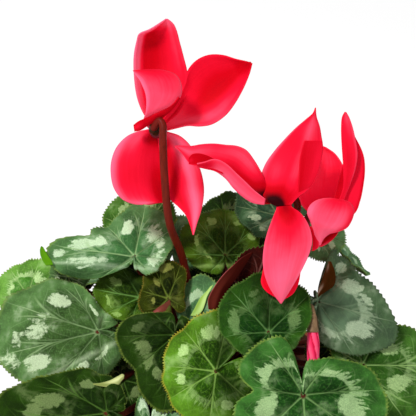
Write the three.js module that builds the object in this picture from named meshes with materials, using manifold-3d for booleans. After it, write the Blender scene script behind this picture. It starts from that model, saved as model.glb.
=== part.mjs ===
// A potted florist's cyclamen with three open flowers and one bud, in millimetres, +Z up.
// The origin is the middle of the pot's flat underside, and the front of the plant faces -Y.
import * as THREE from 'three';
import { mergeVertices } from 'three/addons/utils/BufferGeometryUtils.js';
import Module from 'manifold-3d';

const wasm = await Module();
wasm.setup();

// Driving dimensions of the pot
const POT_HEIGHT = 104;
const POT_TOP_RADIUS = 60;
const POT_FOOT_RADIUS = 43;
const POT_WALL = 2.4;
const POT_BASE = 3;
const POT_SIDES = 32;
const RIM_BAND = 15;
const RIM_STEP = 1.8;
const DRAIN_HOLES = 6;
const DRAIN_RADIUS = 4;
const DRAIN_RING = 28;

// Driving dimensions of the soil, the tuber and its crown
const GAP = 0.3;
const SOIL_EDGE = 91;
const SOIL_MIDDLE = 94;
const TUBER_RADIUS = 23;
const TUBER_TOP = 100;
const TUBER_FLAT = 17;
const TUBER_BOTTOM = 76;
const CROWN_INNER = 7;
const CROWN_OUTER = 16;
const CROWN_HEIGHT = 5;

// Driving dimensions of the leaves, the stalks and the petals
const BLADE_THICKNESS = 0.8;
const TOOTH = 0.022;
const STALK_RADIUS = 1.6;
const FLOWER_STALK_RADIUS = 1.75;
const PETAL_THICKNESS = 0.8;
const THROAT_RADIUS = 3.4;

// The plant is laid out as it is seen from the front and from 28 degrees above the level:
// a place is given as millimetres right, up the view and toward the viewer from VIEW_CENTRE.
const VIEW_RISE = THREE.MathUtils.degToRad(28);
const VIEW_CENTRE = new THREE.Vector3(0, 0, 191);
const VIEW_RIGHT = new THREE.Vector3(1, 0, 0);
const VIEW_UP = new THREE.Vector3(0, Math.sin(VIEW_RISE), Math.cos(VIEW_RISE));
const VIEW_TOWARD = new THREE.Vector3(0, -Math.cos(VIEW_RISE), Math.sin(VIEW_RISE));

function direction([right, up, toward]) {
  return new THREE.Vector3()
    .addScaledVector(VIEW_RIGHT, right)
    .addScaledVector(VIEW_UP, up)
    .addScaledVector(VIEW_TOWARD, toward);
}

function place(seen) {
  return direction(seen).add(VIEW_CENTRE);
}

const radians = THREE.MathUtils.degToRad;

// Closed meshes become solids to be joined or cut, and come back as plain geometry
function solid(geometry) {
  const bare = geometry.clone();
  bare.deleteAttribute('normal');
  bare.deleteAttribute('uv');
  const merged = mergeVertices(bare, 1e-4);
  return new wasm.Manifold(new wasm.Mesh({
    numProp: 3,
    vertProperties: new Float32Array(merged.attributes.position.array),
    triVerts: new Uint32Array(merged.index.array),
  }));
}

function geometryOf(manifold) {
  const mesh = manifold.getMesh();
  const geometry = new THREE.BufferGeometry();
  geometry.setAttribute('position', new THREE.BufferAttribute(new Float32Array(mesh.vertProperties), 3));
  geometry.setIndex(new THREE.BufferAttribute(new Uint32Array(mesh.triVerts), 1));
  geometry.computeVertexNormals();
  return geometry;
}

function joined(geometries) {
  return geometryOf(geometries.map(solid).reduce((whole, next) => whole.add(next)));
}

function turned(profile, sides) {
  const points = profile.map(([radius, height]) => new THREE.Vector2(radius, height));
  const geometry = new THREE.LatheGeometry(points, sides);
  geometry.rotateX(Math.PI / 2);
  return geometry;
}

function rod(curve, radius, sides, steps) {
  const section = new THREE.Shape();
  for (let i = 0; i < sides; i++) {
    const angle = (i / sides) * 2 * Math.PI;
    const point = [radius * Math.cos(angle), radius * Math.sin(angle)];
    if (i === 0) section.moveTo(...point);
    else section.lineTo(...point);
  }
  section.closePath();
  return new THREE.ExtrudeGeometry(section, { steps, extrudePath: curve, bevelEnabled: false });
}

// The pot: a tapered wall with a thicker rim band, and a base with drainage holes
function potWallRadius(height) {
  return THREE.MathUtils.lerp(POT_FOOT_RADIUS, POT_TOP_RADIUS - RIM_STEP, height / POT_HEIGHT);
}

function potGeometry() {
  const bandFoot = POT_HEIGHT - RIM_BAND;
  const shell = turned([
    [0, 0],
    [POT_FOOT_RADIUS - 1, 0],
    [POT_FOOT_RADIUS, 1],
    [potWallRadius(bandFoot - 2), bandFoot - 2],
    [potWallRadius(bandFoot) + RIM_STEP - 0.6, bandFoot],
    [POT_TOP_RADIUS, POT_HEIGHT - 1],
    [POT_TOP_RADIUS - 1, POT_HEIGHT],
    [POT_TOP_RADIUS - RIM_STEP - POT_WALL + 0.6, POT_HEIGHT],
    [potWallRadius(POT_HEIGHT) - POT_WALL, POT_HEIGHT - 1],
    [potWallRadius(POT_BASE) - POT_WALL, POT_BASE],
    [0, POT_BASE],
  ], POT_SIDES);
  let pot = solid(shell);
  for (let i = 0; i < DRAIN_HOLES; i++) {
    const angle = (i / DRAIN_HOLES) * 2 * Math.PI;
    const hole = new THREE.CylinderGeometry(DRAIN_RADIUS, DRAIN_RADIUS, 4 * POT_BASE, 10);
    hole.rotateX(Math.PI / 2);
    hole.translate(DRAIN_RING * Math.cos(angle), DRAIN_RING * Math.sin(angle), 0);
    pot = pot.subtract(solid(hole));
  }
  return geometryOf(pot);
}

// The tuber: a flattened corm, flat on top, that sits half out of the soil
function tuberProfile(grow) {
  const waist = (TUBER_TOP + TUBER_BOTTOM) / 2 + 1;
  return [
    [0, TUBER_BOTTOM - grow],
    [TUBER_RADIUS * 0.6, TUBER_BOTTOM + 1.5 - grow],
    [TUBER_RADIUS * 0.93 + grow, waist - 6],
    [TUBER_RADIUS + grow, waist],
    [TUBER_RADIUS * 0.93 + grow, waist + 6],
  ];
}

function tuberGeometry() {
  return turned([...tuberProfile(0), [TUBER_FLAT, TUBER_TOP], [0, TUBER_TOP]], 24);
}

// The soil: fills the pot to below its rim, with a hollow in which the tuber sits
function soilGeometry() {
  const clear = POT_WALL + GAP;
  const hollow = tuberProfile(GAP).reverse();
  return turned([
    [0, POT_BASE + GAP],
    [potWallRadius(POT_BASE + GAP) - clear, POT_BASE + GAP],
    [potWallRadius(SOIL_EDGE) - clear, SOIL_EDGE],
    [potWallRadius(SOIL_EDGE) - clear - 9, SOIL_EDGE + 1.8],
    [TUBER_RADIUS + 6, SOIL_MIDDLE - 0.4],
    [hollow[0][0], SOIL_MIDDLE],
    ...hollow.slice(1),
  ], 24);
}

// Leaf blades. Each row gives the place where the stalk meets the blade, the length from there
// to the tip, where the upper face looks (degrees right of the front, degrees above level), and
// where the tip points (0 downhill, 90 to the viewer's right, 180 uphill, -90 left).
// reach is the outline: the blade's reach at REACH_ANGLES from the tip, all of it a share of the
// size where it isn't given. cup lets the edge droop, wave is [height, count, phase], dents are
// [angle, depth, width], and bends are [toward, from, over, by]: past a line the blade curls
// down, or up where by is negative.
const REACH_ANGLES = [-165, -135, -90, -45, 0, 45, 90, 135, 165];
const HEART = [0.62, 0.74, 0.8, 0.9, 1, 0.9, 0.8, 0.74, 0.62];
const LEAVES = [
  // Low in front, right to left
  { seat: [41, -80.5, 30], size: 40, faces: [5, 40], points: 0, cup: 0.08, wave: [0.03, 5, 40],
    reach: [16, 22, 37, 38, 41, 37, 30, 30, 27], dents: [[95, 0.28, 9]] },
  { seat: [3.5, -72, 14], size: 28, faces: [-4, 42], points: -50, cup: 0.08,
    reach: [16, 20, 24, 25, 24, 24, 25, 28, 23] },
  { seat: [-14.5, -56.5, 4], size: 33, faces: [-6, 42], points: 0, cup: 0.08,
    reach: [9, 9, 11, 18, 35, 25, 27, 14, 10] },
  { seat: [-25.5, -99, 12], size: 25, faces: [0, 52], points: 0, cup: 0.08,
    reach: [24, 22, 21, 22, 24, 17, 11, 10, 18], arrive: 0.12, sway: [0, 0, 8] },
  { seat: [-44, -89.5, 20], size: 44, faces: [-10, 62], points: -85, cup: 0.03,
    reach: [9, 16, 28, 36, 51, 30, 18, 10, 8] },
  { seat: [-49.5, -56, -5], size: 46, faces: [-15, 45], points: -75, cup: 0.05,
    reach: [10, 14, 23, 34, 51, 39, 13, 9, 9], bends: [[-110, 6, 8, 40]] },
  // The middle of the clump, right to left
  { seat: [70, -71, -4], size: 38, faces: [18, 46], points: 88, cup: 0.06,
    reach: [14, 18, 20, 24, 40, 34, 26, 20, 16] },
  { seat: [49.5, -42, -2], size: 34, faces: [10, 42], points: 66, cup: 0.06,
    reach: [3, 3, 23.5, 24.5, 39.5, 26, 12, 6, 4],
    dents: [[-110, 0.93, 14], [-91, -0.3, 5], [92, 0.5, 14], [-17, 0.07, 11]] },
  { seat: [26.5, -54.5, 19], size: 28, faces: [0, 50], points: -175, cup: 0.05,
    reach: [12, 14, 19, 26, 28, 26, 17, 12, 11] },
  { seat: [-6.5, -56, -5], size: 26, faces: [0, 46], points: 165, cup: 0.05,
    reach: [6, 5, 5, 15, 28, 13, 9, 8, 8] },
  { seat: [-18, -41, -4], size: 21, faces: [-5, 50], points: -155, cup: 0.05,
    reach: [8, 9, 13.5, 13.5, 18, 18, 16, 12, 9], dents: [[108, 0.5, 36], [76, 0.28, 22]] },
  { seat: [-31, -41, -13], size: 22, faces: [-5, 46], points: -90, cup: 0.05,
    reach: [8, 9, 12, 15, 22, 20, 9.5, 8, 8] },
  { seat: [-84, -40.5, -24], size: 20, faces: [-20, 50], points: -150, cup: 0.05,
    reach: [11, 13, 14, 17, 17.5, 18.5, 16, 14, 11] },
  // The top of the clump, right to left
  { seat: [63.9, -23, -26], size: 13, faces: [103, 39], points: 0, cup: -0.25,
    reach: [7.5, 8, 12, 13, 12.5, 13, 12, 8, 7.5], arrive: 0.1, sway: [34, -8, -12] },
  { seat: [51, -11, -22], size: 15, faces: [10, 58], points: 10, cup: 0.06, arrive: 0.2, sway: [-7, 1, 14] },
  { seat: [32.5, -3.5, -22], size: 23, faces: [-10, 50], points: -100, cup: 0.05,
    reach: [9, 10, 11, 15, 21, 24, 21, 17, 13], arrive: 0.12 },
  { seat: [8, -22, -20], size: 26, faces: [0, 60], points: 180, cup: 0.04,
    reach: [10, 12, 18, 25.5, 26, 21, 13, 10, 9], bends: [[180, 4, 5, 45]] },
  { seat: [8.5, -11.5, -42], size: 28, faces: [0, 72], points: 180, cup: 0.04,
    reach: [14, 17, 18, 19, 27, 24, 18, 16, 14] },
  { seat: [-16, -18, -30], size: 19, faces: [-5, 60], points: 175, cup: 0.05,
    reach: [9, 9, 10, 15, 18, 19, 18, 14, 11] },
  { seat: [-33.5, -22, -9], size: 34, faces: [-8, 62], points: 180, cup: 0.04,
    reach: [14, 26, 42, 23, 30, 22, 14, 12, 10], dents: [[-70, 0.26, 9], [-154, 0.78, 27],
      [160, 0.3, 9]], bends: [[180, 4, 6, 55]] },
  { seat: [-31.5, -11, -22], size: 26, faces: [-15, 58], points: -150, cup: 0.05,
    reach: [8, 10, 14, 20, 25, 23, 17, 10, 8] },
  { seat: [-9.8, -39.3, -32.5], size: 15, faces: [0, 50], points: -170, cup: 0.05,
    reach: [8, 10, 12, 11, 10.5, 11, 9, 6, 6] },
  { seat: [19, -41, 0], size: 24, faces: [175, -10], points: 145, cup: 0.05,
    reach: [6, 10, 20, 26, 17, 16, 17, 6, 5], arrive: 0.24, sway: [2, -6, 2], root: -40 },
  // The sides, the back and low over the front of the rim
  { seat: [-5, -28, -87], size: 30, faces: [180, 58], points: 0, cup: 0.08 },
  { seat: [-53, -33, -79], size: 28, faces: [-140, 56], points: 10, cup: 0.08 },
  { seat: [42, -43, -94], size: 29, faces: [150, 55], points: -10, cup: 0.08, arrive: 0.1, sway: [0, 0, 10] },
  { seat: [-74, -48.5, -64], size: 28, faces: [-115, 50], points: 5, cup: 0.08 },
  { seat: [78, -54, -54], size: 30, faces: [100, 50], points: 0, cup: 0.08 },
  { seat: [-25, -36, -100], size: 30, faces: [-165, 50], points: 0, cup: 0.08 },
  { seat: [25, -13, -58], size: 24, faces: [170, 74], points: 10, cup: 0.06 },
  { seat: [-42, -20, -47], size: 21, faces: [-150, 70], points: 0, cup: 0.06 },
  { seat: [88, -73.5, -30], size: 28, faces: [75, 45], points: 10, cup: 0.08, arrive: 0.12, sway: [0, 0, 10] },
  { seat: [-80, -97.5, 6], size: 26, faces: [-50, 55], points: -10, cup: 0.08, arrive: 0.1, sway: [0, 0, 10] },
  { seat: [5, -106, 32], size: 26, faces: [5, 36], points: 0, cup: 0.08, arrive: 0.1, sway: [0, 0, 5] },
  { seat: [23, -20, -75], size: 25, faces: [158, 52], points: 8, cup: 0.08 },
  { seat: [-31.5, -22.6, -72.9], size: 24, faces: [-153, 56], points: -8, cup: 0.08 },
  { seat: [-8.1, -14, -63.5], size: 22, faces: [178, 66], points: 0, cup: 0.07 },
];

const OUTLINE_POINTS = 32;
const RINGS = [[0.36, 4], [0.7, 2]];

function reachAt(reaches, angle) {
  const count = REACH_ANGLES.length;
  const knot = (i) => REACH_ANGLES[(i + count) % count] + 360 * Math.floor(i / count);
  const value = (i) => reaches[(i + count) % count];
  let i = -1;
  while (knot(i + 1) <= angle) i++;
  const slope = (k) => (value(k + 1) - value(k - 1)) / (knot(k + 1) - knot(k - 1));
  const gap = knot(i + 1) - knot(i);
  const t = (angle - knot(i)) / gap;
  return value(i) * (1 + 2 * t) * (1 - t) ** 2 + slope(i) * gap * t * (1 - t) ** 2
    + value(i + 1) * t * t * (3 - 2 * t) - slope(i + 1) * gap * t * t * (1 - t);
}

function outlineRadius(leaf, angle) {
  const sinus = 1 - 0.88 * Math.exp(-(((180 - Math.abs(angle)) / 8) ** 2));
  const reaches = leaf.reach ?? HEART.map((share) => share * leaf.size);
  let reach = reachAt(reaches, angle) * sinus;
  for (const [at, depth, width] of leaf.dents ?? []) {
    const off = ((angle - at + 540) % 360) - 180;
    reach *= 1 - depth * Math.exp(-((off / width) ** 2));
  }
  return reach;
}

function outlineAngle(t) {
  return 180 * Math.sign(t) * (1 - (1 - Math.abs(t)) ** 1.3);
}

function curled(point, [toward, from, over, by]) {
  const turn = radians(toward);
  const along = new THREE.Vector3(Math.sin(turn), Math.cos(turn), 0);
  const reach = point.dot(along);
  if (reach <= from) return point;
  const sweep = radians(by) * Math.min((reach - from) / over, 1);
  const radius = over / radians(by);
  const straight = Math.max(reach - from - over, 0);
  const arm = radius + point.z;
  const out = from + arm * Math.sin(sweep) + straight * Math.cos(sweep);
  const height = -radius + arm * Math.cos(sweep) - straight * Math.sin(sweep);
  const moved = point.clone().addScaledVector(along, out - reach);
  moved.z = height;
  return moved;
}

function bladePoint(leaf, x, y) {
  const ratio = Math.hypot(x, y) / leaf.size;
  const [height, count, phase] = leaf.wave ?? [0, 1, 0];
  const ripple = height * Math.cos(count * Math.atan2(x, y) + radians(phase));
  let point = new THREE.Vector3(x, y, leaf.size * ratio * ratio * (ripple - (leaf.cup ?? 0)));
  for (const bend of leaf.bends ?? []) point = curled(point, bend);
  return point;
}

function bladeNormal(leaf, x, y) {
  const step = 0.2;
  const alongX = bladePoint(leaf, x + step, y).sub(bladePoint(leaf, x - step, y));
  const alongY = bladePoint(leaf, x, y + step).sub(bladePoint(leaf, x, y - step));
  return alongX.cross(alongY).normalize();
}

function bladeFlatRings(leaf) {
  const outline = [];
  for (let i = 0; i < OUTLINE_POINTS; i++) {
    const angle = outlineAngle(1 - (2 * i) / OUTLINE_POINTS);
    const tooth = i === 0 ? 1 : 1 + (i % 2 ? TOOTH : -TOOTH);
    outline.push([angle, outlineRadius(leaf, angle) * tooth]);
  }
  const rings = RINGS.map(([share, skip]) => outline
    .filter((_, i) => i % skip === 0)
    .map(([angle, reach]) => [angle, reach * share]));
  return [...rings, outline];
}

function bladeGeometry(leaf) {
  const rings = bladeFlatRings(leaf);
  const flat = [[0, 0]];
  const starts = [];
  for (const ring of rings) {
    starts.push(flat.length);
    for (const [angle, reach] of ring) {
      flat.push([reach * Math.sin(radians(angle)), reach * Math.cos(radians(angle))]);
    }
  }
  const faces = [];
  const inner = rings[0].length;
  for (let i = 0; i < inner; i++) faces.push([0, 1 + i, 1 + ((i + 1) % inner)]);
  for (let r = 0; r + 1 < rings.length; r++) {
    const [few, many] = [rings[r].length, rings[r + 1].length];
    const share = many / few;
    for (let i = 0; i < few; i++) {
      const here = starts[r] + i;
      const next = starts[r] + ((i + 1) % few);
      const outer = (j) => starts[r + 1] + ((i * share + j) % many);
      const turnOver = Math.floor(share / 2);
      for (let j = 0; j < share; j++) {
        faces.push([j < turnOver ? here : next, outer(j), outer(j + 1)]);
      }
      faces.push([here, outer(turnOver), next]);
    }
  }
  return thickened(flat.map(([x, y]) => bladePoint(leaf, x, y)),
    flat.map(([x, y]) => bladeNormal(leaf, x, y)), faces, starts.at(-1), BLADE_THICKNESS);
}

// Both faces of a blade or petal share one set of triangles, and a band closes its edge
function thickened(points, normals, faces, edgeStart, thickness) {
  const count = points.length;
  const position = [];
  for (const side of [0.5, -0.5]) {
    points.forEach((point, i) => {
      position.push(...point.clone().addScaledVector(normals[i], side * thickness));
    });
  }
  const index = [];
  for (const [a, b, c] of faces) index.push(a, b, c, a + count, c + count, b + count);
  const edge = count - edgeStart;
  for (let i = 0; i < edge; i++) {
    const a = edgeStart + i;
    const b = edgeStart + ((i + 1) % edge);
    index.push(b, a, b + count, a, a + count, b + count);
  }
  const geometry = new THREE.BufferGeometry();
  geometry.setAttribute('position', new THREE.BufferAttribute(new Float32Array(position), 3));
  geometry.setIndex(index);
  geometry.computeVertexNormals();
  return geometry;
}

function bladeFrame(leaf) {
  const [azimuth, elevation] = leaf.faces.map(radians);
  const normal = new THREE.Vector3(
    Math.sin(azimuth) * Math.cos(elevation),
    -Math.cos(azimuth) * Math.cos(elevation),
    Math.sin(elevation),
  );
  const downhill = new THREE.Vector3(0, 0, -1).projectOnPlane(normal).normalize();
  const across = normal.clone().cross(downhill);
  const tip = downhill.multiplyScalar(Math.cos(radians(leaf.points)))
    .addScaledVector(across, Math.sin(radians(leaf.points)));
  const side = tip.clone().cross(normal);
  return { normal, basis: new THREE.Matrix4().makeBasis(side, tip, normal) };
}

// Leaf stalks: each rises from the ring-shaped crown and ends square under its own blade
const CROWN_RING = (CROWN_INNER + CROWN_OUTER) / 2;

function leafStalk(leaf) {
  const { normal } = bladeFrame(leaf);
  const end = place(leaf.seat).addScaledVector(normal, -BLADE_THICKNESS / 2 - GAP);
  const root = Math.atan2(end.y, end.x) + radians(leaf.root ?? 0);
  const start = new THREE.Vector3(Math.cos(root), Math.sin(root), 0).multiplyScalar(CROWN_RING);
  start.z = TUBER_TOP + CROWN_HEIGHT / 2;
  const span = start.distanceTo(end);
  const rise = start.clone().multiplyScalar(0.6).setZ(start.z + 0.3 * span);
  rise.add(new THREE.Vector3(...(leaf.sway ?? [0, 0, 0])));
  const arrive = end.clone().addScaledVector(normal, -(leaf.arrive ?? 0.35) * span);
  return rod(new THREE.CubicBezierCurve3(start, rise, arrive, end), STALK_RADIUS, 5, 5);
}

function leafStalksGeometry() {
  const crown = turned([
    [CROWN_INNER, TUBER_TOP + GAP],
    [CROWN_OUTER, TUBER_TOP + GAP],
    [CROWN_OUTER - 1, TUBER_TOP + CROWN_HEIGHT - 1],
    [CROWN_RING, TUBER_TOP + CROWN_HEIGHT],
    [CROWN_INNER, TUBER_TOP + CROWN_HEIGHT - 1],
    [CROWN_INNER, TUBER_TOP + GAP],
  ], 16);
  return joined([crown, ...LEAVES.map(leafStalk)]);
}

// Petals. Each rib of a petal, from the throat to its tip, gives its two edges right and up as seen,
// and how far toward the front it lies. bulge is how far the middle swells toward the front, cups
// how far its two margins turn that way, and lean how far its second edge lies in front.
const BLOOMS = {
  a: {
    throat: [-22.7, 34.7, 8], axis: [0.15, -0.1, -1],
    petals: [
      // Upper left
      { bulge: -2.5, cups: [3, 1], lean: 0, ribs: [
        [-24.5, 36.5, -20, 36.5, 8], [-29.1, 43, -12.5, 43.9, 3], [-32, 50.9, -9.5, 52.3, -1],
        [-33.3, 61.5, -9.5, 61.5, -3], [-33.2, 69.1, -11.1, 68.2, -3], [-32, 74.9, -12.9, 74.9, -2],
        [-30.8, 77.9, -14.2, 79.7, 0], [-26.1, 80, -15.7, 82.7, 1], [-18.8, 84.8, -18.2, 84.8, 2]] },
      // Right
      { bulge: -3.5, cups: [0.5, 2.5], lean: 3, ribs: [
        [-21.8, 36.5, -20.9, 33.8, 8], [-17.8, 42.8, -14.3, 35.5, 6], [-13.4, 49.2, -8.9, 36.7, 4],
        [-10.3, 56.5, -3.6, 36.5, 3], [-9, 61.9, 1.8, 37.5, 2], [-5.4, 66.2, 7.6, 41.3, 2],
        [0, 68.6, 11.6, 46.2, 3], [6.3, 68.4, 15.6, 53.2, 5], [12.5, 66.4, 18.3, 59.7, 7],
        [19.1, 64.9, 19.5, 64.2, 9]] },
      // Front
      { bulge: 1.5, cups: [0, -1.5], lean: 0, ribs: [
        [-26.2, 35.1, -22.9, 36.5, 8.5], [-28.5, 38.4, -26.1, 40, 13], [-27.2, 42.6, -20.9, 42.8, 17],
        [-26.9, 47.3, -15.3, 45.1, 19], [-27.5, 50.7, -12, 49, 20], [-28.6, 53.3, -11.6, 53.8, 20],
        [-30, 56.1, -14, 58.3, 18], [-31.5, 58.1, -19.4, 60.6, 15], [-32.5, 59.6, -26.5, 61.1, 13],
        [-33.3, 60.7, -32.8, 60.8, 11]] },
      // Front roll
      { bulge: 1.2, cups: [0, 0], lean: -1.5, ribs: [
        [-32.8, 36.7, -32.5, 33.8, 13], [-30.4, 38.4, -29.8, 34.4, 14], [-27.3, 39.7, -26, 36.8, 14],
        [-23.3, 41.1, -21.1, 39.2, 15.5], [-18.9, 43.2, -17.3, 41.9, 17],
        [-15.3, 45.6, -14.5, 44.7, 18.5], [-12.7, 48.6, -12.3, 48.1, 19.5]] },
      // Lower left
      { bulge: 1.5, cups: [-1.5, 0], lean: -2, ribs: [
        [-26.7, 35.1, -22.2, 33.4, 8], [-31.2, 34.1, -21.4, 31.2, 6], [-36.2, 31.9, -21, 27.3, 5],
        [-40.7, 27.3, -20.6, 22.3, 5], [-43, 21.4, -20.1, 17.4, 5.5], [-43.3, 15.2, -19.6, 12, 6],
        [-41.9, 8.9, -19.2, 7.1, 6], [-38.4, 4.2, -19, 2.7, 6], [-33.4, 2, -21.4, 2.5, 7],
        [-29.4, 1.6, -25.8, 1.6, 7.5]] },
      // Lower right
      { bulge: 1.2, cups: [1, -1], lean: 0, ribs: [
        [-22.7, 34.3, -18.7, 34.3, 8], [-22.3, 29.5, -12.5, 32.1, 5.5], [-21.4, 23.2, -7.6, 27.3, 5],
        [-20.5, 17, -4.7, 20.5, 5.5], [-19.2, 10.7, -2.7, 14.3, 6.5], [-17.4, 4.5, -1.9, 8.9, 7],
        [-13.3, 0.7, -2.2, 3.6, 8.5], [-9.8, -3.3, -3.3, -1.8, 10], [-8, -7.5, -4.9, -6.6, 11.5],
        [-6.8, -11.9, -6.4, -11.9, 12.5]] },
    ],
  },
  b: {
    throat: [33.2, 1.3, 21], axis: [0, -0.2, 1],
    petals: [
      // Left
      { bulge: 1.2, cups: [0, 0], lean: 2, ribs: [
        [31, 4.8, 31.5, 0.4, 20.5], [28, 7.9, 28.9, 1.7, 19.5], [25.4, 10.5, 24.5, 1.7, 19.5],
        [23.6, 14.9, 19.7, 2.6, 20], [20.1, 21, 15.3, 5.2, 21], [16.6, 25.3, 10.9, 9.2, 22],
        [12.6, 27, 7.8, 13, 23.5], [7.8, 27.4, 4.3, 15.6, 25], [2.6, 27.9, 0.2, 16.9, 26],
        [-2.6, 27.6, -3.9, 18.3, 27], [-7.3, 26.8, -7.8, 19.1, 28], [-10.8, 26.9, -10.4, 22.4, 28.5],
        [-14.2, 26.7, -14, 26.2, 29]] },
      // Left fold
      { bulge: 1.2, cups: [-0.5, 0], lean: -5, ribs: [
        [25, 3.9, 24.6, 1.5, 22.8], [20.4, 7.4, 19.8, 2.3, 23.3], [16.3, 11.3, 15.4, 4.8, 24.3],
        [12.1, 15.2, 11.1, 8.7, 25.8], [8.2, 18.8, 8, 12.5, 27.3], [4.7, 20.7, 4.7, 15.1, 28.8],
        [1.9, 21.6, 2.6, 17, 29.3]] },
      // Upright
      { bulge: 2, cups: [-0.5, 0], lean: 0, ribs: [
        [29.6, 0.7, 36.1, 1.3, 23.6], [24.8, 3.9, 39.2, 4.6, 22], [23.4, 9.6, 44.2, 8.3, 18.5],
        [23.7, 15, 47.9, 14.5, 16], [25.5, 19.6, 49.8, 20.7, 15], [29.5, 25.3, 50.6, 26.9, 15],
        [33.9, 30.3, 49.8, 31.7, 16], [38.6, 35.1, 48.9, 36, 18], [42.8, 38.7, 47.6, 39.3, 20],
        [45.8, 41.4, 47, 41.8, 22], [46.7, 43.7, 46.9, 43.7, 23]] },
      // Front
      { bulge: 2.5, cups: [0, 0.8], lean: 0, ribs: [
        [30.1, 1.7, 36.2, 2.4, 22.4], [29.8, -0.4, 36.5, 0.4, 23.4], [28.4, -3.9, 39.5, -1.7, 24.6],
        [26.7, -8.2, 42.5, -5.4, 25.5], [25.1, -13, 44.4, -10, 26.5], [24.1, -18.2, 45, -14.7, 27],
        [23.8, -23.4, 43.7, -19.9, 26.5], [24.7, -29.1, 41.4, -25.1, 25.5],
        [26.5, -33.9, 38.7, -30.4, 24], [29.2, -38.4, 35.7, -35.7, 22], [31.8, -41.7, 32.1, -41.7, 20]] },
      // Back
      { bulge: -1, cups: [0, 0], lean: 0, ribs: [
        [30.6, 0.9, 35.8, 0.9, 20], [29.3, -3.5, 38.5, -3.5, 18.8], [26.8, -12.3, 43.1, -12.3, 15.5],
        [25.1, -22.1, 41.5, -22.1, 14], [24, -28.7, 40.8, -28.2, 14], [23.4, -32.8, 39.9, -33.1, 14.5],
        [25.3, -36.3, 37.4, -37.6, 16], [30.3, -39.5, 32.5, -40.6, 17]] },
      // Behind
      { bulge: -1, cups: [0, 0], lean: 0, ribs: [
        [31, 1.7, 35.8, 1.7, 20], [29.3, 7, 39.4, 7, 19], [27.9, 13.3, 43.8, 11.9, 12],
        [29.4, 20.5, 46, 19.2, 6], [34, 27.3, 46.5, 26.8, 4], [39.8, 32.6, 44.7, 32.6, 5],
        [42.8, 35.6, 43.7, 35.6, 7]] },
    ],
  },
  c: {
    throat: [54.7, -6.2, 8], axis: [0.3, -0.3, -0.9],
    petals: [
      // Upright
      { bulge: 0.8, cups: [0, -0.8], lean: 0, ribs: [
        [53.4, -5.3, 56.9, -5.3, 8], [57.2, 1.8, 59.9, 3.1, 10], [59.8, 8.9, 62.9, 10.6, 11],
        [59.9, 15.9, 65.2, 17.7, 12], [59.4, 23, 66, 23.9, 12.5], [58.9, 30, 65.1, 30, 13],
        [58.7, 35.7, 63.7, 35.7, 14], [59, 40.1, 62.1, 39.9, 15], [60, 42.2, 60.7, 42.2, 16]] },
      // Right
      { bulge: 0.8, cups: [0, 0], lean: 0, ribs: [
        [55.2, -4.9, 59.2, -5.8, 8], [58.8, 1.3, 65.5, -2.2, 7], [60.5, 7.1, 67.8, 3.6, 8],
        [62.3, 14.2, 69.2, 10.7, 8], [63.2, 21.4, 69.8, 16.9, 8], [63.6, 26.7, 69.3, 22.7, 8.5],
        [63.9, 30.2, 67.5, 27.5, 9.5], [64, 33.2, 64.9, 31.9, 11]] },
      // Front
      { bulge: 2.5, cups: [0, -0.8], lean: 0, ribs: [
        [48.2, -16.6, 49.4, -16.2, 16.6], [47.1, -13.1, 50.4, -13.7, 18.5], [46.1, -9.6, 52.8, -11.3, 21],
        [44.6, -5.7, 56.6, -10.2, 23], [43.2, -2.2, 60.4, -8.5, 24], [43.9, 0.4, 62.8, -4.6, 24],
        [46.2, 2.6, 63.6, -0.9, 22.5], [49.8, 3.9, 62.2, 2, 21], [53.8, 4.2, 59.1, 3.5, 19.5]] },
      // Under
      { bulge: 0.5, cups: [0, 0], lean: 0, ribs: [
        [53.4, -6.2, 56.9, -5.8, 8], [52.4, -10.2, 58.2, -9.3, 9], [50.6, -13.3, 56.2, -12.8, 12],
        [49.1, -15.4, 52.7, -15.6, 14.5], [48.1, -16.7, 50.1, -16.9, 16.2]] },
      // Back
      { bulge: -1.5, cups: [0, 0], lean: 0, ribs: [
        [52, -5.3, 56.9, -4.4, 8], [45.3, -2, 60, 1.8, 3], [41, 3.6, 62.2, 9.9, -1],
        [41.7, 10.9, 62.3, 16.3, -5], [45.4, 19.5, 60.8, 20.2, -6], [48.9, 25.4, 57.6, 24.5, -5],
        [51.1, 28.2, 53.3, 27.3, -3]] },
      // Behind
      { bulge: -1, cups: [0, 0], lean: 0, ribs: [
        [53.8, -4.9, 57.8, -4.9, 8], [55.8, 2.2, 63, 1.3, 5], [57.8, 9.9, 66.8, 8.5, 2.5],
        [60.2, 18, 67.8, 16.2, 1.5], [61.8, 26, 66.3, 25.1, 3]] },
    ],
  },
};

const MOST_PETAL_STEPS = 7;
const PETAL_STRIPS = 3;
const FULL_WIDTH = 14;

function petalGeometry(petal, throat) {
  const [first, second] = [0, 2].map((k) => new THREE.CatmullRomCurve3(petal.ribs.map((rib) => direction(
    [rib[k] - throat[0], rib[k + 1] - throat[1], rib[4] - throat[2]])), false, 'centripetal'));
  const steps = Math.min(petal.ribs.length - 1, MOST_PETAL_STEPS);
  const points = [];
  for (let i = 0; i <= steps; i++) {
    const [left, right] = [first, second].map((edge) => edge.getPoint(i / steps));
    const ease = Math.sin(Math.PI * Math.min((i / steps) * 1.6 + 0.1, 0.5));
    const fullness = ease * Math.min(left.distanceTo(right) / FULL_WIDTH, 1);
    for (let j = 0; j <= PETAL_STRIPS; j++) {
      const part = (2 * j) / PETAL_STRIPS - 1;
      const margin = Math.max((Math.abs(part) - 0.5) / 0.5, 0) ** 2;
      const swell = petal.bulge * (1 - part * part) + petal.cups[part < 0 ? 0 : 1] * margin;
      points.push(left.clone().lerp(right, (part + 1) / 2)
        .addScaledVector(VIEW_TOWARD, swell * fullness + (petal.lean * part * ease) / 2));
    }
  }
  return sheetGeometry(points, steps + 1, PETAL_STRIPS + 1, PETAL_THICKNESS);
}

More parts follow.
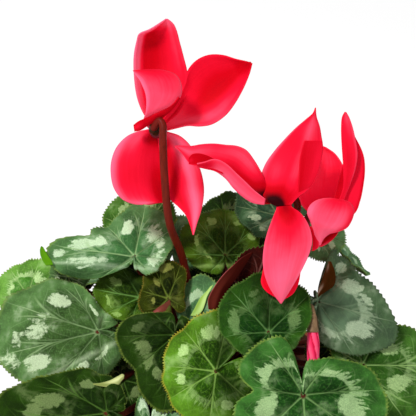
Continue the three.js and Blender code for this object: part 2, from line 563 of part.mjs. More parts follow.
function sheetGeometry(points, rows, columns, thickness) {
  const at = (i, j) => points[i * columns + j];
  const normals = [];
  for (let i = 0; i < rows; i++) {
    for (let j = 0; j < columns; j++) {
      const onward = at(Math.min(i + 1, rows - 1), j).clone().sub(at(Math.max(i - 1, 0), j));
      const across = at(i, Math.min(j + 1, columns - 1)).clone().sub(at(i, Math.max(j - 1, 0)));
      normals.push(across.cross(onward).normalize());
    }
  }
  const order = [];
  for (let i = 1; i + 1 < rows; i++) for (let j = 1; j + 1 < columns; j++) order.push(i * columns + j);
  const edgeStart = order.length;
  for (let j = 0; j < columns - 1; j++) order.push(j);
  for (let i = 0; i < rows - 1; i++) order.push(i * columns + columns - 1);
  for (let j = columns - 1; j > 0; j--) order.push((rows - 1) * columns + j);
  for (let i = rows - 1; i > 0; i--) order.push(i * columns);
  const renumbered = new Map(order.map((old, k) => [old, k]));
  const faces = [];
  for (let i = 0; i + 1 < rows; i++) {
    for (let j = 0; j + 1 < columns; j++) {
      const [a, b, c, d] = [i * columns + j, i * columns + j + 1, (i + 1) * columns + j + 1,
        (i + 1) * columns + j].map((k) => renumbered.get(k));
      faces.push([a, b, c], [a, c, d]);
    }
  }
  return thickened(order.map((k) => points[k]), order.map((k) => normals[k]), faces, edgeStart, thickness);
}

function bloomGeometry(bloom) {
  const axis = direction(bloom.axis).normalize();
  const throat = turned([
    [0, -2.5], [THROAT_RADIUS, -2.5], [THROAT_RADIUS + 0.4, 1], [THROAT_RADIUS - 0.8, 1], [0, -1]], 10);
  throat.applyQuaternion(new THREE.Quaternion().setFromUnitVectors(new THREE.Vector3(0, 0, 1), axis));
  return joined([throat, ...bloom.petals.map((petal) => petalGeometry(petal, bloom.throat))]);
}

// Flower stalks: a root on the tuber, then places as seen, up to the calyx behind the throat
const FLOWER_STALKS = {
  a: { root: [-3.6, 2], path: [[-11.5, -24, -17], [-17.3, -6.3, 4.5], [-19.2, 14.7, 15], [-19.8, 31, 17.5],
    [-19.9, 36.5, 17.3], [-21.3, 38.4, 16.6]] },
  b: { root: [0.3, -4.2], path: [[20, -60, -18], [31, -40, -8], [38, -12, 0], [40, 1, 4], [37.5, 5, 9]] },
  c: { root: [2.8, 3.2], path: [[26, -50, -24], [40, -30, -14], [44.5, -12, -4], [44.5, -5, 3],
    [47.5, -2, 9], [51, -3, 14]] },
};

const CALYX_LENGTH = 4.5;
const CALYX_RADIUS = 2.6;

function flowerStalkGeometry(stalk, bloom) {
  const axis = direction(bloom.axis).normalize();
  const throat = place(bloom.throat);
  const seat = throat.clone().addScaledVector(axis, -2.5 - GAP);
  const back = seat.clone().addScaledVector(axis, -CALYX_LENGTH);
  const root = new THREE.Vector3(...stalk.root, TUBER_TOP + GAP);
  const foot = root.clone().setZ(root.z + 12);
  const path = [root, foot, ...stalk.path.map(place), back, back.clone().addScaledVector(axis, 1.5)];
  const shaft = rod(new THREE.CatmullRomCurve3(path, false, 'centripetal'), FLOWER_STALK_RADIUS, 6, 20);
  const calyx = turned([
    [0, 0], [CALYX_RADIUS * 0.75, 0.4], [CALYX_RADIUS, 2.2], [CALYX_RADIUS * 0.9, CALYX_LENGTH],
    [0, CALYX_LENGTH]], 10);
  calyx.applyQuaternion(new THREE.Quaternion().setFromUnitVectors(new THREE.Vector3(0, 0, 1), axis));
  calyx.translate(back.x, back.y, back.z);
  return joined([shaft, calyx]);
}

// The bud: a nodding twist of folded petals under a small calyx, on a short arched stalk
const BUD_TOP = [46.3, -54.3, 13];
const BUD_TIP = [46.5, -75, 15];
const BUD_CALYX_LENGTH = 7.5;
const BUD_STALK = { root: [4.2, -1.2], path: [[16, -77, -27], [30, -69, -18], [38, -58, -5],
  [43, -46.5, 4], [45.3, -43.8, 9.5]] };
const BUD_RADIUS = 2.9;

function budGeometry() {
  const top = place(BUD_TOP);
  const tip = place(BUD_TIP);
  const length = top.distanceTo(tip);
  const bud = turned([
    [0, 0], [BUD_RADIUS * 0.8, 0], [BUD_RADIUS, length * 0.25], [BUD_RADIUS * 0.95, length * 0.6],
    [BUD_RADIUS * 0.55, length * 0.88], [0, length]], 8);
  const down = tip.clone().sub(top).normalize();
  bud.applyQuaternion(new THREE.Quaternion().setFromUnitVectors(new THREE.Vector3(0, 0, 1), down));
  bud.translate(top.x, top.y, top.z);
  return bud;
}

function budStalkGeometry() {
  const down = place(BUD_TIP).sub(place(BUD_TOP)).normalize();
  const seat = place(BUD_TOP).addScaledVector(down, -GAP);
  const back = seat.clone().addScaledVector(down, -BUD_CALYX_LENGTH);
  const root = new THREE.Vector3(...BUD_STALK.root, TUBER_TOP + GAP);
  const foot = root.clone().setZ(root.z + 8);
  const path = [root, foot, ...BUD_STALK.path.map(place), back, back.clone().addScaledVector(down, 1.5)];
  const shaft = rod(new THREE.CatmullRomCurve3(path, false, 'centripetal'), 1.5, 6, 18);
  const calyx = turned([[0, 0], [1.5, 0.5], [1.9, 3], [2.2, BUD_CALYX_LENGTH], [0, BUD_CALYX_LENGTH]], 8);
  calyx.applyQuaternion(new THREE.Quaternion().setFromUnitVectors(new THREE.Vector3(0, 0, 1), down));
  calyx.translate(back.x, back.y, back.z);
  return joined([shaft, calyx]);
}

// Finishes
const terracotta = new THREE.MeshStandardMaterial({ color: 0xb5663f, roughness: 0.85, metalness: 0 });
const soilFinish = new THREE.MeshStandardMaterial({ color: 0x2b1e15, roughness: 1, metalness: 0 });
const tuberFinish = new THREE.MeshStandardMaterial({ color: 0x5b4030, roughness: 0.9, metalness: 0 });
const leafFinish = new THREE.MeshStandardMaterial({ color: 0x3f6a3a, roughness: 0.5, metalness: 0 });
const stalkFinish = new THREE.MeshStandardMaterial({ color: 0x5a1a10, roughness: 0.5, metalness: 0 });
const petalFinish = new THREE.MeshStandardMaterial({ color: 0xe01535, roughness: 0.55, metalness: 0 });

const plant = new THREE.Group();

function add(name, geometry, material) {
  const mesh = new THREE.Mesh(geometry, material);
  mesh.name = name;
  plant.add(mesh);
  return mesh;
}

add('pot', potGeometry(), terracotta);
add('soil', soilGeometry(), soilFinish);
add('tuber', tuberGeometry(), tuberFinish);
add('leaf_stalks', leafStalksGeometry(), stalkFinish);
LEAVES.forEach((leaf, i) => {
  const blade = add(`leaf_${String(i + 1).padStart(2, '0')}`, bladeGeometry(leaf), leafFinish);
  blade.position.copy(place(leaf.seat));
  blade.quaternion.setFromRotationMatrix(bladeFrame(leaf).basis);
});
for (const [key, bloom] of Object.entries(BLOOMS)) {
  add(`flower_stalk_${key}`, flowerStalkGeometry(FLOWER_STALKS[key], bloom), stalkFinish);
  add(`bloom_${key}`, bloomGeometry(bloom), petalFinish).position.copy(place(bloom.throat));
}
add('bud_stalk', budStalkGeometry(), stalkFinish);
add('bud', budGeometry(), petalFinish);

export default plant;
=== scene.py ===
# A potted florist's cyclamen: clay pot, soil, tuber, marbled leaves, three red flowers and a bud.
import math

import bmesh
import bpy
import numpy as np
from mathutils import Matrix, Vector, noise


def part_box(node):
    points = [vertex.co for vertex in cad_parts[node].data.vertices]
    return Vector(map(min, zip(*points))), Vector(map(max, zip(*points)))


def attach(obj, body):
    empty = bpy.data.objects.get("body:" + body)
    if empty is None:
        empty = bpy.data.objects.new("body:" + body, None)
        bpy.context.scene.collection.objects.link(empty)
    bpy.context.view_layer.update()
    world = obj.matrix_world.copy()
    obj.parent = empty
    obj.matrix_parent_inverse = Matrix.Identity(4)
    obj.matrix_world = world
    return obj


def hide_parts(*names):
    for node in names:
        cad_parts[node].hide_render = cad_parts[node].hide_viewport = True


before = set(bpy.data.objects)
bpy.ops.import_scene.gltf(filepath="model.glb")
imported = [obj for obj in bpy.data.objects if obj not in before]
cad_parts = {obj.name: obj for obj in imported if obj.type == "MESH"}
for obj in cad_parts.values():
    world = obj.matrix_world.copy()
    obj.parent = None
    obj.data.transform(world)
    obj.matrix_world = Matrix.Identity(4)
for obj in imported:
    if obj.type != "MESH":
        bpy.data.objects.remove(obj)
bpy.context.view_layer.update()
scene = bpy.context.scene
MM = 0.001

# Camera: level with the photo's, 28 degrees above the plant and straight in front of it.
# It looks at a point above the pot, as in the photo, where the leaves fill the lower half.
VIEW_RISE = math.radians(28)
VIEW_CENTRE = np.array([0.0, 0.0, 191.0])
VIEW_DISTANCE = 700.0
VIEW_RIGHT = np.array([1.0, 0.0, 0.0])
VIEW_UP = np.array([0.0, math.sin(VIEW_RISE), math.cos(VIEW_RISE)])
VIEW_TOWARD = np.array([0.0, -math.cos(VIEW_RISE), math.sin(VIEW_RISE)])

camera_data = bpy.data.cameras.new("camera")
camera_data.lens = 134.6
camera_data.sensor_width = 36.0
camera = bpy.data.objects.new("camera", camera_data)
camera.location = Vector((VIEW_CENTRE + VIEW_DISTANCE * VIEW_TOWARD) * MM)
camera.rotation_euler = (math.pi / 2 - VIEW_RISE, 0.0, 0.0)
scene.collection.objects.link(camera)
scene.camera = camera
scene.view_settings.view_transform = "Standard"


# Pot: a tapered terracotta flowerpot, thrown and fired, with a thicker rim band outside and
# drainage holes in its base. The clay is matt, a little uneven, with pale lime near the foot.
class Field:
    """A shader value that plain arithmetic works on."""

    def __init__(self, finish, socket):
        self.finish = finish
        self.socket = socket

    def maths(self, operation, *values):
        return self.finish.add("ShaderNodeMath", {"operation": operation}, dict(enumerate(values)))

    def __add__(self, other):
        return self.maths("ADD", self, other)

    __radd__ = __add__

    def __sub__(self, other):
        return self.maths("SUBTRACT", self, other)

    def __rsub__(self, other):
        return self.maths("SUBTRACT", other, self)

    def __mul__(self, other):
        return self.maths("MULTIPLY", self, other)

    __rmul__ = __mul__

    def __truediv__(self, other):
        return self.maths("DIVIDE", self, other)

    def __rtruediv__(self, other):
        return self.maths("DIVIDE", other, self)

    def __abs__(self):
        return self.maths("ABSOLUTE", self)

    def lower(self, other):
        return self.maths("MINIMUM", self, other)

    def upper(self, other):
        return self.maths("MAXIMUM", self, other)

    def rise(self, low, high):
        """0 below low and 1 above high, with a smooth step between them."""
        sockets = {"Value": self, "From Min": low, "From Max": high}
        return self.finish.add("ShaderNodeMapRange", {"interpolation_type": "SMOOTHSTEP"}, sockets)


class Finish:
    """A procedural material: constants go on the shader, and add() makes every other node."""

    def __init__(self, name, **constants):
        self.material = bpy.data.materials.new(name)
        self.material.use_nodes = True
        self.tree = self.material.node_tree
        self.shader = self.tree.nodes["Principled BSDF"]
        for socket, value in constants.items():
            self.feed(self.shader.inputs[socket.replace("_", " ")], value)

    def feed(self, socket, value):
        if isinstance(value, Field):
            self.tree.links.new(value.socket, socket)
        else:
            socket.default_value = value

    def add(self, kind, settings=None, sockets=None, output=0):
        node = self.tree.nodes.new(kind)
        for name, value in (settings or {}).items():
            setattr(node, name, value)
        for name, value in (sockets or {}).items():
            self.feed(node.inputs[name], value)
        return Field(self, node.outputs[output])

    def mix(self, factor, first, second, blend="MIX"):
        settings = {"data_type": "RGBA", "blend_type": blend}
        return self.add("ShaderNodeMix", settings, {0: factor, 6: first, 7: second}, 2)

    def surface(self, name, output="Fac"):
        return self.add("ShaderNodeAttribute", {"attribute_name": name}, None, output)

    def place(self):
        return self.add("ShaderNodeTexCoord", None, None, "Object")

    def stretched(self, vector, factors):
        return self.add("ShaderNodeVectorMath", {"operation": "MULTIPLY"}, {0: vector, 1: factors})

    def grain(self, vector, scale, detail=3.0, roughness=0.55):
        sockets = {"Vector": vector, "Scale": scale, "Detail": detail, "Roughness": roughness}
        return self.add("ShaderNodeTexNoise", None, sockets)

    def raised(self, height, distance, strength=1.0):
        sockets = {"Strength": strength, "Distance": distance, "Height": height}
        self.feed(self.shader.inputs["Normal"], self.add("ShaderNodeBump", None, sockets))

    def colour(self, value):
        self.feed(self.shader.inputs["Base Color"], value)

    def roughness(self, value):
        self.feed(self.shader.inputs["Roughness"], value)


def paint(red, green, blue):
    """A colour as it looks, 0 to 255, in the light units that shaders use."""
    linear = []
    for part in (red, green, blue):
        share = part / 255
        linear.append(share / 12.92 if share <= 0.04045 else ((share + 0.055) / 1.055) ** 2.4)
    return (*linear, 1.0)


def built(name, vertices, faces, materials, node=None, thickness=0.0, surfaces=None):
    """A smooth mesh object from points in millimetres, riding on the plant's body."""
    mesh = bpy.data.meshes.new(name)
    mesh.from_pydata((np.asarray(vertices) * MM).tolist(), [], faces)
    mesh.polygons.foreach_set("use_smooth", np.ones(len(mesh.polygons), bool))
    for key, values in (surfaces or {}).items():
        values = np.asarray(values, float)
        kind = "FLOAT" if values.ndim == 1 else "FLOAT_VECTOR"
        layer = mesh.attributes.new(key, kind, "POINT")
        layer.data.foreach_set("value" if kind == "FLOAT" else "vector", values.ravel())
    for material in materials:
        mesh.materials.append(material)
    piece = bpy.data.objects.new(name, mesh)
    scene.collection.objects.link(piece)
    if thickness:
        solid = piece.modifiers.new("thickness", "SOLIDIFY")
        solid.thickness = thickness * MM
        solid.offset = 0.0
        solid.material_offset = len(materials) - 1
        solid.material_offset_rim = 0
    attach(piece, "root")
    if node:
        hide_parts(node)
    return piece


def ring_faces(rows, sides, first=0):
    """Faces between rings of points that follow one another."""
    faces = []
    for start in range(first, first + rows * sides, sides):
        for k in range(sides):
            after = (k + 1) % sides
            faces.append((start + k, start + after, start + sides + after, start + sides + k))
    return faces


def turned(profile, sides):
    """Points and faces of a profile of (radius, height) turned about the upright axis."""
    vertices = []
    for radius, height in profile:
        for k in range(sides):
            angle = 2 * math.pi * k / sides
            vertices.append((radius * math.cos(angle), radius * math.sin(angle), height))
    return np.array(vertices), ring_faces(len(profile) - 1, sides)


def eased(points, count):
    """The points with count more of them along each straight stretch."""
    path = []
    for start, end in zip(points, points[1:]):
        for k in range(count):
            path.append(tuple(a + (b - a) * k / count for a, b in zip(start, end)))
    return path + [points[-1]]


pot_low, pot_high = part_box("pot")
POT_HEIGHT = (pot_high.z - pot_low.z) / MM
POT_TOP_RADIUS = (pot_high.x - pot_low.x) / 2 / MM
POT_FOOT_RADIUS = 43.0
POT_WALL = 2.4
POT_BASE = 3.0
RIM_BAND = 15.0
RIM_STEP = 1.8
POT_SIDES = 128
DRAIN_HOLES = 6
DRAIN_RING = 28.0
DRAIN_RADIUS = 4.0


def pot_wall_radius(height):
    top = POT_TOP_RADIUS - RIM_STEP
    return POT_FOOT_RADIUS + (top - POT_FOOT_RADIUS) * height / POT_HEIGHT


band_foot = POT_HEIGHT - RIM_BAND
outside = eased([
    (0.01, 0.0), (POT_FOOT_RADIUS - 1.4, 0.0), (POT_FOOT_RADIUS - 0.3, 0.5), (POT_FOOT_RADIUS, 1.6),
    (pot_wall_radius(band_foot - 2), band_foot - 2), (pot_wall_radius(band_foot) + 0.6, band_foot - 0.4),
    (pot_wall_radius(band_foot) + RIM_STEP - 0.3, band_foot + 0.4), (POT_TOP_RADIUS, POT_HEIGHT - 1.4),
    (POT_TOP_RADIUS - 0.5, POT_HEIGHT - 0.3), (POT_TOP_RADIUS - 1.4, POT_HEIGHT),
    (POT_TOP_RADIUS - RIM_STEP - POT_WALL + 0.7, POT_HEIGHT),
    (pot_wall_radius(POT_HEIGHT) - POT_WALL, POT_HEIGHT - 0.9),
    (pot_wall_radius(POT_BASE) - POT_WALL, POT_BASE), (0.01, POT_BASE)], 4)
points, faces = turned(outside, POT_SIDES)

clay = Finish("terracotta", Specular_IOR_Level=0.25)
spot = clay.place()
height_grain = clay.grain(clay.stretched(spot, (0.02, 0.02, 1.0)), 420.0, 3.0)
patches = clay.grain(spot, 38.0, 4.0, 0.6)
speckle = clay.grain(spot, 1400.0, 2.0)
clay_colour = clay.mix(patches.rise(0.35, 0.7), paint(176, 92, 58), paint(198, 116, 78))
clay_colour = clay.mix(speckle.rise(0.55, 0.75) * 0.35, clay_colour, paint(128, 62, 40))
level = clay.add("ShaderNodeSeparateXYZ", None, {0: spot}, 2)
lime = (1 - level.rise(0.004, 0.04)) * patches.rise(0.42, 0.66) * 0.55
clay_colour = clay.mix(lime, clay_colour, paint(226, 205, 186))
# Everything inside the outer skin, the hollow, the inner rim and the base, is painted dark brown: a painted
# shade.
out_from_axis = clay.stretched(spot, (1.0, 1.0, 0.0))
reach = clay.add("ShaderNodeVectorMath", {"operation": "LENGTH"}, {0: out_from_axis}, 1)
slope = (POT_TOP_RADIUS - RIM_STEP - POT_FOOT_RADIUS) / POT_HEIGHT
outer_skin = (reach - level * slope).rise((POT_FOOT_RADIUS - 1.8) * MM, (POT_FOOT_RADIUS - 0.8) * MM)
clay_colour = clay.mix((1 - outer_skin) * 0.9, clay_colour, paint(48, 28, 18))
clay.colour(clay_colour)
clay.roughness(0.78 + 0.15 * patches)
clay.raised(height_grain * 0.6 + speckle * 0.4, 0.0005, 0.5)

pot = built("flowerpot", points, faces, [clay.material], "pot")
holes_mesh = bpy.data.meshes.new("drain_holes")
holes = bmesh.new()
for k in range(DRAIN_HOLES):
    turn = 2 * math.pi * k / DRAIN_HOLES
    middle = Matrix.Translation((DRAIN_RING * MM * math.cos(turn), DRAIN_RING * MM * math.sin(turn), 0.0))
    bmesh.ops.create_cone(holes, cap_ends=True, segments=40, radius1=DRAIN_RADIUS * MM,
                          radius2=DRAIN_RADIUS * MM, depth=4 * POT_BASE * MM, matrix=middle)
holes.to_mesh(holes_mesh)
holes.free()
cutter = bpy.data.objects.new("drain_holes", holes_mesh)
scene.collection.objects.link(cutter)
cut = pot.modifiers.new("holes", "BOOLEAN")
cut.operation = "DIFFERENCE"
cut.solver = "EXACT"
cut.object = cutter
bpy.context.view_layer.objects.active = pot
pot.select_set(True)
bpy.ops.object.modifier_apply(modifier="holes")
bpy.data.objects.remove(cutter)

# Soil: dark potting peat that fills the pot to below its rim, level and crumbly, with a few
# pale grains of perlite. It lies round the tuber, which stands half out of it.
SOIL_EDGE = 91.0
SOIL_MIDDLE = 94.0
TUBER_RADIUS = 23.0
TUBER_TOP = 100.0
SOIL_RINGS = 40
SOIL_SIDES = 150
GAP = 0.3
soil_radius = pot_wall_radius(SOIL_EDGE) - POT_WALL - GAP
soil_profile = [(0.01, POT_BASE + GAP), (pot_wall_radius(POT_BASE) - POT_WALL - GAP, POT_BASE + GAP)]
for k in range(SOIL_RINGS + 1):
    share = k / SOIL_RINGS
    radius = soil_radius + (TUBER_RADIUS - 3 - soil_radius) * share
    soil_profile.append((radius, SOIL_EDGE + (SOIL_MIDDLE - SOIL_EDGE) * share ** 0.7))
soil_profile += [(TUBER_RADIUS - 3, SOIL_MIDDLE - 8), (0.01, SOIL_MIDDLE - 8)]
points, faces = turned(soil_profile, SOIL_SIDES)
for k in range(SOIL_SIDES * 3, SOIL_SIDES * (SOIL_RINGS + 3)):
    where = Vector(points[k])
    lumps = noise.noise(where * 0.16) * 0.9 + noise.noise(where * 0.5) * 0.8
    points[k, 2] += lumps + abs(noise.noise(where * 1.3)) * 0.9 - 0.4

peat = Finish("peat", Specular_IOR_Level=0.2)
spot = peat.place()
crumbs = peat.grain(spot, 900.0, 4.0, 0.7)
damp = peat.grain(spot, 60.0, 2.0)
peat_colour = peat.mix(crumbs.rise(0.35, 0.68), paint(26, 18, 13), paint(74, 52, 38))
peat_colour = peat.mix(damp.rise(0.5, 0.7) * 0.5, peat_colour, paint(20, 14, 10))
perlite = peat.grain(spot, 420.0, 0.0).rise(0.76, 0.79)
peat.colour(peat.mix(perlite, peat_colour, paint(196, 190, 180)))
peat.roughness(0.85 + 0.1 * crumbs)
peat.raised(crumbs + 0.5 * damp, 0.0009, 0.9)
built("potting_soil", points, faces, [peat.material], "soil")

# Tuber: the flattened corky corm of a cyclamen, brown and fissured, with its top above the soil.
# The leaf and flower stalks rise from its crown.
TUBER_BOTTOM = 76.0
TUBER_FLAT = 17.0
waist = (TUBER_TOP + TUBER_BOTTOM) / 2 + 1
tuber_profile = eased([
    (0.01, TUBER_BOTTOM), (TUBER_RADIUS * 0.6, TUBER_BOTTOM + 1.5), (TUBER_RADIUS * 0.93, waist - 6),
    (TUBER_RADIUS, waist), (TUBER_RADIUS * 0.93, waist + 6), (TUBER_FLAT + 1.5, TUBER_TOP - 0.6),
    (TUBER_FLAT, TUBER_TOP), (0.01, TUBER_TOP)], 6)
points, faces = turned(tuber_profile, 96)
for k, point in enumerate(points):
    where = Vector(point)
    swell = noise.noise(where * 0.12) * 0.5 - abs(noise.noise(where * 0.45)) * 0.7
    if point[2] < TUBER_TOP - 0.3:
        points[k, :2] *= 1 + swell / TUBER_RADIUS

cork = Finish("cork", Specular_IOR_Level=0.25)
spot = cork.place()
fissures = cork.grain(cork.stretched(spot, (1.0, 1.0, 2.2)), 260.0, 4.0, 0.65)
skin = cork.mix(fissures.rise(0.35, 0.65), paint(58, 38, 26), paint(128, 96, 70))
cork.colour(cork.mix(cork.grain(spot, 90.0).rise(0.55, 0.75) * 0.5, skin, paint(150, 122, 94)))
cork.roughness(0.82 + 0.1 * fissures)
cork.raised(fissures, 0.0012, 0.8)
built("corm", points, faces, [cork.material], "tuber")

# Leaf stalks: smooth round stems that rise from a ring-shaped crown of old scars on the tuber,
# each ending square under its own blade. They are dark red, lighter toward the blade.
STALK_RADIUS = 1.6
STALK_STEPS = 30
STALK_SIDES = 14
CROWN_INNER = 7.0
CROWN_RING = 11.5
CROWN_OUTER = 16.0
CROWN_HEIGHT = 5.0
BLADE_BACK = 0.4
# A blade's row gives its look, its place as seen from the front in millimetres right, up and
# toward, the length to its tip, the bearing and rise of its upper face, where its tip points and
# how much it cups. Then come, by name, its outline at REACH_ANGLES, its waves, notches and bends,
# how its stalk comes up, and its underside where that isn't wine red.
REACH_ANGLES = (-165, -135, -90, -45, 0, 45, 90, 135, 165)
HEART = (0.62, 0.74, 0.8, 0.9, 1, 0.9, 0.8, 0.74, 0.62)


def blade_row(look, seat, size, faces, points, cup, **more):
    return {"look": look, "seat": seat, "size": size, "faces": faces, "points": points, "cup": cup, **more}


LEAVES = [
    # Low in front, right to left
    blade_row("fresh", (41, -80.5, 30), 40, (5, 40), 0, 0.08, reach=(16, 22, 37, 38, 41, 37, 30, 30, 27),
        wave=(0.03, 5, 40), dents=((95, 0.28, 9),)),
    blade_row("bright", (3.5, -72, 14), 28, (-4, 42), -50, 0.08, reach=(16, 20, 24, 25, 24, 24, 25, 28, 23)),
    blade_row("dark", (-14.5, -56.5, 4), 33, (-6, 42), 0, 0.08, reach=(9, 9, 11, 18, 35, 25, 27, 14, 10)),
    blade_row("marbled", (-25.5, -99, 12), 25, (0, 52), 0, 0.08, reach=(24, 22, 21, 22, 24, 17, 11, 10, 18),
        arrive=0.12, sway=(0, 0, 8)),
    blade_row("dark", (-44, -89.5, 20), 44, (-10, 62), -85, 0.03, reach=(9, 16, 28, 36, 51, 30, 18, 10, 8)),
    blade_row("grey", (-49.5, -56, -5), 46, (-15, 45), -75, 0.05, reach=(10, 14, 23, 34, 51, 39, 13, 9, 9),
        bends=((-110, 6, 8, 40),)),
    # The middle of the clump, right to left
    blade_row("fair", (70, -71, -4), 38, (18, 46), 88, 0.06, reach=(14, 18, 20, 24, 40, 34, 26, 20, 16)),
    blade_row("slate", (49.5, -42, -2), 34, (10, 42), 66, 0.06, reach=(3, 3, 23.5, 24.5, 39.5, 26, 12, 6, 4),
        dents=((-110, 0.93, 14), (-91, -0.3, 5), (92, 0.5, 14), (-17, 0.07, 11))),
    blade_row("deep", (26.5, -54.5, 19), 28, (0, 50), -175, 0.05, reach=(12, 14, 19, 26, 28, 26, 17, 12, 11)),
    blade_row("pale", (-6.5, -56, -5), 26, (0, 46), 165, 0.05, reach=(6, 5, 5, 15, 28, 13, 9, 8, 8)),
    blade_row("olive", (-18, -41, -4), 21, (-5, 50), -155, 0.05, reach=(8, 9, 13.5, 13.5, 18, 18, 16, 12, 9),
        dents=((108, 0.5, 36), (76, 0.28, 22))),
    blade_row("glossy", (-31, -41, -13), 22, (-5, 46), -90, 0.05, reach=(8, 9, 12, 15, 22, 20, 9.5, 8, 8)),
    blade_row("lime", (-84, -40.5, -24), 20, (-20, 50), -150, 0.05,
        reach=(11, 13, 14, 17, 17.5, 18.5, 16, 14, 11)),
    # The top of the clump, right to left
    blade_row("pale", (63.9, -23, -26), 13, (103, 39), 0, -0.25, reach=(7.5, 8, 12, 13, 12.5, 13, 12, 8, 7.5),
        arrive=0.1, sway=(34, -8, -12), under="olive"),
    blade_row("pale", (51, -11, -22), 15, (10, 58), 10, 0.06, arrive=0.2, sway=(-7, 1, 14)),
    blade_row("blue", (32.5, -3.5, -22), 23, (-10, 50), -100, 0.05, reach=(9, 10, 11, 15, 21, 24, 21, 17, 13),
        arrive=0.12),
    blade_row("glossy", (8, -22, -20), 26, (0, 60), 180, 0.04, reach=(10, 12, 18, 25.5, 26, 21, 13, 10, 9),
        bends=((180, 4, 5, 45),)),
    blade_row("dark", (8.5, -11.5, -42), 28, (0, 72), 180, 0.04, reach=(14, 17, 18, 19, 27, 24, 18, 16, 14)),
    blade_row("pale", (-16, -18, -30), 19, (-5, 60), 175, 0.05, reach=(9, 9, 10, 15, 18, 19, 18, 14, 11)),
    blade_row("marbled", (-33.5, -22, -9), 34, (-8, 62), 180, 0.04,
        reach=(14, 26, 42, 23, 30, 22, 14, 12, 10), dents=((-70, 0.26, 9), (-154, 0.78, 27), (160, 0.3, 9)),
        bends=((180, 4, 6, 55),)),
    blade_row("fair", (-31.5, -11, -22), 26, (-15, 58), -150, 0.05, reach=(8, 10, 14, 20, 25, 23, 17, 10, 8)),
    blade_row("dark", (-9.8, -39.3, -32.5), 15, (0, 50), -170, 0.05,
        reach=(8, 10, 12, 11, 10.5, 11, 9, 6, 6)),
    blade_row("deep", (19, -41, 0), 24, (175, -10), 145, 0.05, reach=(6, 10, 20, 26, 17, 16, 17, 6, 5),
        arrive=0.24, sway=(2, -6, 2), root=-40, under="maroon"),
    # The sides, the back and low over the front of the rim
    blade_row("fresh", (-5, -28, -87), 30, (180, 58), 0, 0.08),
    blade_row("marbled", (-53, -33, -79), 28, (-140, 56), 10, 0.08),
    blade_row("deep", (42, -43, -94), 29, (150, 55), -10, 0.08, arrive=0.1, sway=(0, 0, 10)),
    blade_row("blue", (-74, -48.5, -64), 28, (-115, 50), 5, 0.08),
    blade_row("fresh", (78, -54, -54), 30, (100, 50), 0, 0.08),
    blade_row("bright", (-25, -36, -100), 30, (-165, 50), 0, 0.08),
    blade_row("deep", (25, -13, -58), 24, (170, 74), 10, 0.06),
    blade_row("dark", (-42, -20, -47), 21, (-150, 70), 0, 0.06),
    blade_row("fresh", (88, -73.5, -30), 28, (75, 45), 10, 0.08, arrive=0.12, sway=(0, 0, 10)),
    blade_row("marbled", (-80, -97.5, 6), 26, (-50, 55), -10, 0.08, arrive=0.1, sway=(0, 0, 10)),
    blade_row("dark", (5, -106, 32), 26, (5, 36), 0, 0.08, arrive=0.1, sway=(0, 0, 5)),
    blade_row("blue", (23, -20, -75), 25, (158, 52), 8, 0.08),
    blade_row("fresh", (-31.5, -22.6, -72.9), 24, (-153, 56), -8, 0.08),
    blade_row("dark", (-8.1, -14, -63.5), 22, (178, 66), 0, 0.07),
]


def direction(seen):
    right, up, toward = seen
    return right * VIEW_RIGHT + up * VIEW_UP + toward * VIEW_TOWARD


def place(seen):
    return VIEW_CENTRE + direction(seen)


def unit(vector):
    return vector / np.linalg.norm(vector)


def blade_axes(leaf):
    """The blade's side, tip and face directions, one in each row."""
    azimuth, elevation = (math.radians(angle) for angle in leaf["faces"])
    face = np.array([math.sin(azimuth) * math.cos(elevation),
                     -math.cos(azimuth) * math.cos(elevation), math.sin(elevation)])
    downhill = unit(np.array([0.0, 0.0, -1.0]) + face[2] * face)
    across = np.cross(face, downhill)
    turn = math.radians(leaf["points"])
    tip = downhill * math.cos(turn) + across * math.sin(turn)
    return np.array([np.cross(tip, face), tip, face])


def leaf_stalk_line(leaf):
    face = blade_axes(leaf)[2]
    end = place(leaf["seat"]) - face * (BLADE_BACK + GAP)
    root = math.atan2(end[1], end[0]) + math.radians(leaf.get("root", 0))
    start = np.array([CROWN_RING * math.cos(root), CROWN_RING * math.sin(root),
                      TUBER_TOP + CROWN_HEIGHT / 2])
    span = np.linalg.norm(end - start)
    rise = np.array([0.6 * start[0], 0.6 * start[1], start[2] + 0.3 * span])
    rise += np.array(leaf.get("sway", (0, 0, 0)), float)
    arrive = end - face * leaf.get("arrive", 0.35) * span
    t = np.linspace(0, 1, STALK_STEPS)[:, None]
    return ((1 - t) ** 3 * start + 3 * (1 - t) ** 2 * t * rise
            + 3 * (1 - t) * t ** 2 * arrive + t ** 3 * end)


class Heap:
    """Gathers meshes and their surface values, so that they are built as one piece."""

    def __init__(self):
        self.points = []
        self.faces = []
        self.values = {}

    def put(self, points, faces, **values):
        """Adds a mesh. A value that is one number holds at all its points."""
        first = sum(len(part) for part in self.points)
        self.points.append(points)
        self.faces += [tuple(k + first for k in face) for face in faces]
        for key, value in values.items():
            value = value if np.ndim(value) else np.full(len(points), float(value))
            self.values.setdefault(key, []).append(value)

    def put_stem(self, line, radii, sides):
        """Adds a round stem along a line, closed at both ends."""
        heading = np.gradient(line, axis=0)
        heading /= np.linalg.norm(heading, axis=1)[:, None]
        side = unit(np.cross(heading[0], (0.3, 0.7, 0.2)))
        points = []
        for here, ahead, radius in zip(line, heading, radii):
            side = unit(side - ahead * np.dot(side, ahead))
            other = np.cross(ahead, side)
            for k in range(sides):
                turn = 2 * math.pi * k / sides
                points.append(here + radius * (math.cos(turn) * side + math.sin(turn) * other))
        faces = ring_faces(len(line) - 1, sides)
        faces.append(tuple(range(sides))[::-1])
        faces.append(tuple(range(len(points) - sides, len(points))))
        self.put(np.array(points), faces, along=np.repeat(np.linspace(0, 1, len(line)), sides))

    def built(self, name, material, slot, node=None, thickness=0.0):
        surfaces = {key: np.concatenate(parts) for key, parts in self.values.items()}
        built(name, np.concatenate(self.points), self.faces, [material], node, thickness, surfaces)


